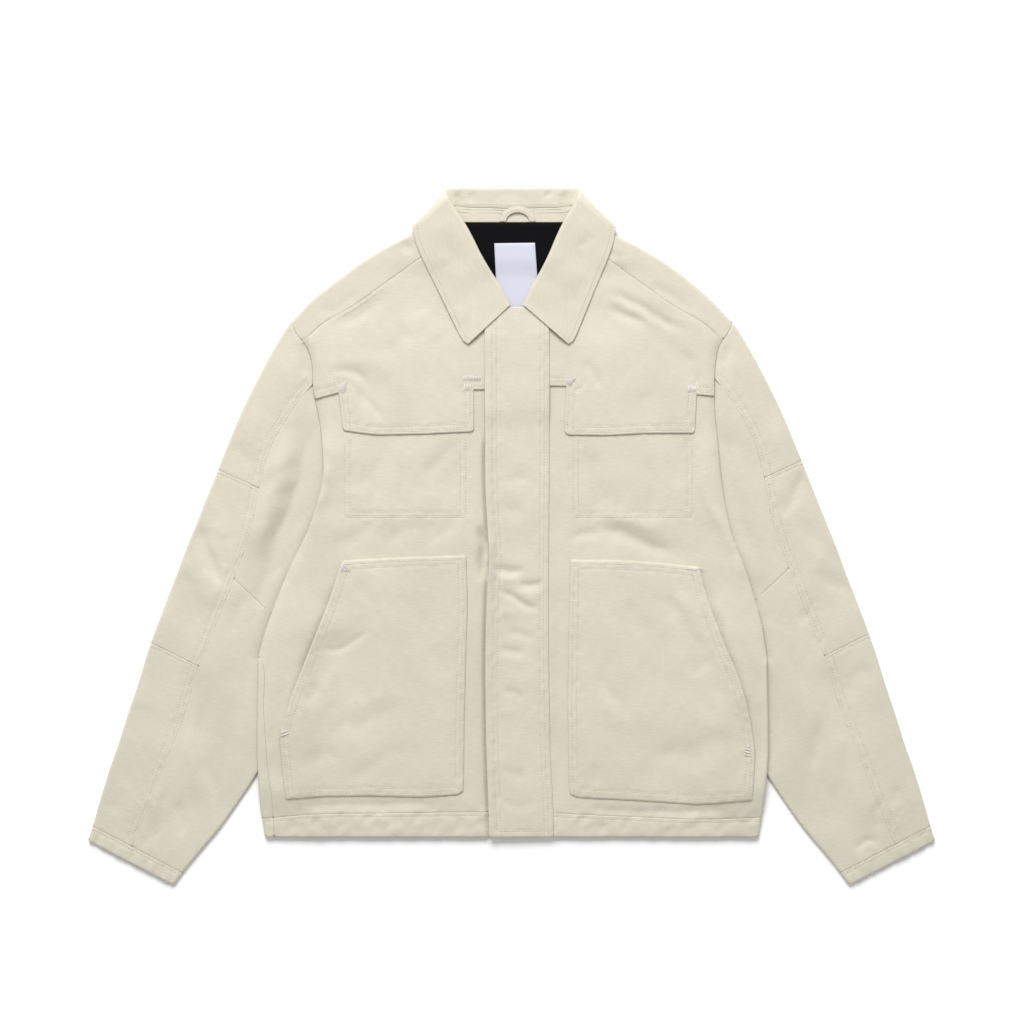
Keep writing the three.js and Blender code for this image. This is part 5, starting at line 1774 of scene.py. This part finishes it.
class JACKET_OT_collar(JacketOperator):
    """Make the collar's stand and fall"""

    bl_idname = "jacket.collar"
    bl_label = "Collar"

    def make(self):
        rows = collar_rows(3.0)
        fall = np.array([fall_section(row, 46) for row in rows])
        stand = np.array([stand_section(row, 10) for row in rows])
        relief = lambda points: (
            creases_rise(points[:, :2], COLLAR_CREASES) * smooth(points[:, 2], 2.4, 3.2)
            + 0.25 * waves(points[:, 0], points[:, 1], 40, 11)
        )
        grid_piece("collar_fall", fall, COLLAR_WALL * 0.9, canvas_cloth(), relief=relief)
        grid_piece("collar_stand", stand, COLLAR_WALL * 0.9, canvas_cloth())
        self.note_collar_rows(fall, stand, relief)

    def note_collar_rows(self, fall, stand, relief):
        """Rows along the leaves' edges, six millimetres in, and along both sides of the stand's seam"""
        lengths = np.linalg.norm(np.diff(fall, axis=1), axis=2).sum(axis=1)
        edge = []
        for section, length in zip(fall, lengths):
            place = (1 - 6 / length) * (len(section) - 1)
            i = int(place)
            edge.append(mix(section[i], section[i + 1], place - i))
        edge = np.array(edge)
        inside = slice(3, -3)
        line = edge[inside].copy()
        line[:, 2] += relief(line) + COLLAR_WALL * 0.45 + 0.15
        shown = line[line[:, 2] > 6.5]
        middle = np.argmax(np.diff(shown[:, 0]))
        STITCH_ROWS["collar"] += [shown[:middle + 1], shown[middle + 1:]]
        for sections, column in ((fall, 1), (fall, 2), (stand, -2), (stand, -4)):
            row = sections[:, column].copy()
            row[:, 2] += relief(row) + COLLAR_WALL * 0.45 + 0.15
            STITCH_ROWS["collar"].append(row[row[:, 1] > COLLAR_ROWS_SHOWN_Y])


class JACKET_OT_neck(JacketOperator):
    """Make the lining, the bare label and the hanger loop inside the neck"""

    bl_idname = "jacket.neck"
    bl_label = "Inside of the neck"

    def make(self):
        top_y = NECK_SEAM_Y - SEAM
        lining_edge = [
            (-74, top_y), (-84, 330), (-66, 290), (-30, 248), (44, 248), (74, 290), (90, 330), (80, top_y), (-74, top_y),
        ]
        label_edge = [(-20, 337.4), (-18, 295), (-15, 253), (32, 253), (30, 296), (27, 338), (-20, 337.4)]
        lining_top = lambda points: body_lift(points) + CLOTH + SEAM + LINING
        label_top = lambda points: lining_top(points) + SEAM + LABEL
        drape = lambda points: 0.35 * waves(points[:, 0], points[:, 1], 45, 12)
        lining = Skin([("edge", straight(lining_edge))], lining_top, drape)
        cloth_piece("neck_lining", [lining], material=lining_cloth(), wall=0.8 * MM)
        label = Skin([("edge", straight(label_edge))], label_top, lambda points: 0.3 * drape(points))
        cloth_piece("label", [label], material=label_cloth(), wall=0.5 * MM)
        self.make_loop()

    def make_loop(self):
        base = NECK_Z + COLLAR_WALL / 2 + SEAM + LOOP_WALL / 2
        sections = []
        for share in np.linspace(0, 1, 41):
            angle = math.pi * (1 - share)
            arch = math.sin(angle)
            section = []
            for reach in np.linspace(-LOOP_TAPE / 2, LOOP_TAPE / 2, 9):
                x = LOOP_CENTRE_X + (LOOP_HALF_SPAN + reach) * math.cos(angle)
                y = NECK_SEAM_Y + 1 + (LOOP_RISE + reach) * arch
                z = base + 1.2 * arch + 0.25 * math.cos(reach) * arch
                section.append((x, y, z))
            sections.append(section)
        grid_piece("hanger_loop", np.array(sections), LOOP_WALL, canvas_cloth(), bevel=0.4)


class JACKET_OT_stitching(JacketOperator):
    """Make the rows of stitches and the bar tacks"""

    bl_idname = "jacket.stitching"
    bl_label = "Stitching"

    def make(self):
        for group, rows in STITCH_ROWS.items():
            if rows:
                stitch_piece("stitches_" + group, rows)
                rows.clear()
        threads = [thread for tack in TACKS for thread in tack_threads(tack)]
        verts, faces = thread_mesh(threads, TACK_THREAD)
        tacks = new_mesh_object("bar_tacks", verts * MM, faces, tack_cloth())
        tacks.data.shade_smooth()
        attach(tacks, "root")


class JACKET_OT_stage(JacketOperator):
    """Make the floor, the lights and the camera above the jacket"""

    bl_idname = "jacket.stage"
    bl_label = "Stage"

    def make(self):
        material, tree, output = new_material("matt_white_sweep")
        shader = add_node(
            tree, "ShaderNodeBsdfDiffuse", inputs={"Color": opaque(colours().floor), "Roughness": 0.5}
        )
        tree.links.new(shader.outputs["BSDF"], output.inputs["Surface"])
        half = 6.0
        corners = np.array([(-half, -half, 0), (half, -half, 0), (half, half, 0), (-half, half, 0)])
        floor = new_mesh_object("floor", corners - (0, 0, 0.0004), [(0, 1, 2, 3)], material)
        scene = bpy.context.scene
        camera = bpy.data.cameras.new("camera")
        camera.lens, camera.sensor_width = LENS, SENSOR
        camera.clip_end = 50
        holder = bpy.data.objects.new("camera", camera)
        x, y = VIEW_CENTRE
        holder.location = (x * MM, y * MM, VIEW_WIDTH * MM * LENS / SENSOR + 0.01)
        scene.collection.objects.link(holder)
        scene.camera = holder
        self.add_light("window_beside_the_collar", (-0.4, 3.1, 2.8), 2.1, 192)
        world = bpy.data.worlds.new("studio")
        world.use_nodes = True
        world.node_tree.nodes["Background"].inputs["Color"].default_value = (1, 1, 1, 1)
        world.node_tree.nodes["Background"].inputs["Strength"].default_value = 0.53
        scene.world = world
        scene.view_settings.view_transform = "Standard"
        scene.view_settings.look = "None"

    def add_light(self, name, place, size, power):
        light = bpy.data.lights.new(name, "AREA")
        light.shape, light.size, light.energy = "SQUARE", size, power
        obj = bpy.data.objects.new(name, light)
        obj.location = place
        obj.rotation_euler = (-Vector(place)).to_track_quat("-Z", "Y").to_euler()
        bpy.context.scene.collection.objects.link(obj)


PIECE_OPERATORS = (
    JACKET_OT_back, JACKET_OT_fronts, JACKET_OT_yokes, JACKET_OT_placket, JACKET_OT_pockets, JACKET_OT_sleeves,
    JACKET_OT_collar, JACKET_OT_neck, JACKET_OT_stitching, JACKET_OT_stage,
)


class JACKET_PT_panel(bpy.types.Panel):
    """Lists the jacket's pieces and sizes"""

    bl_label = "Chore Jacket"
    bl_space_type = "VIEW_3D"
    bl_region_type = "UI"
    bl_category = "Chore Jacket"

    def draw(self, context):
        for operator in PIECE_OPERATORS:
            self.layout.operator(operator.bl_idname)
        for group in (context.scene.jacket_sizes, context.scene.jacket_colours):
            for name in group.bl_rna.properties.keys():
                if name not in ("rna_type", "name"):
                    self.layout.prop(group, name)


CLASSES = (JacketSizes, JacketColours, *PIECE_OPERATORS, JACKET_PT_panel)


def register():
    for cls in CLASSES:
        bpy.utils.register_class(cls)
    bpy.types.Scene.jacket_sizes = PointerProperty(type=JacketSizes)
    bpy.types.Scene.jacket_colours = PointerProperty(type=JacketColours)


def unregister():
    del bpy.types.Scene.jacket_colours
    del bpy.types.Scene.jacket_sizes
    for cls in reversed(CLASSES):
        bpy.utils.unregister_class(cls)


def main():
    register()
    for operator in PIECE_OPERATORS:
        group, name = operator.bl_idname.split(".")
        getattr(getattr(bpy.ops, group), name)()


if __name__ == "__main__":
    main()
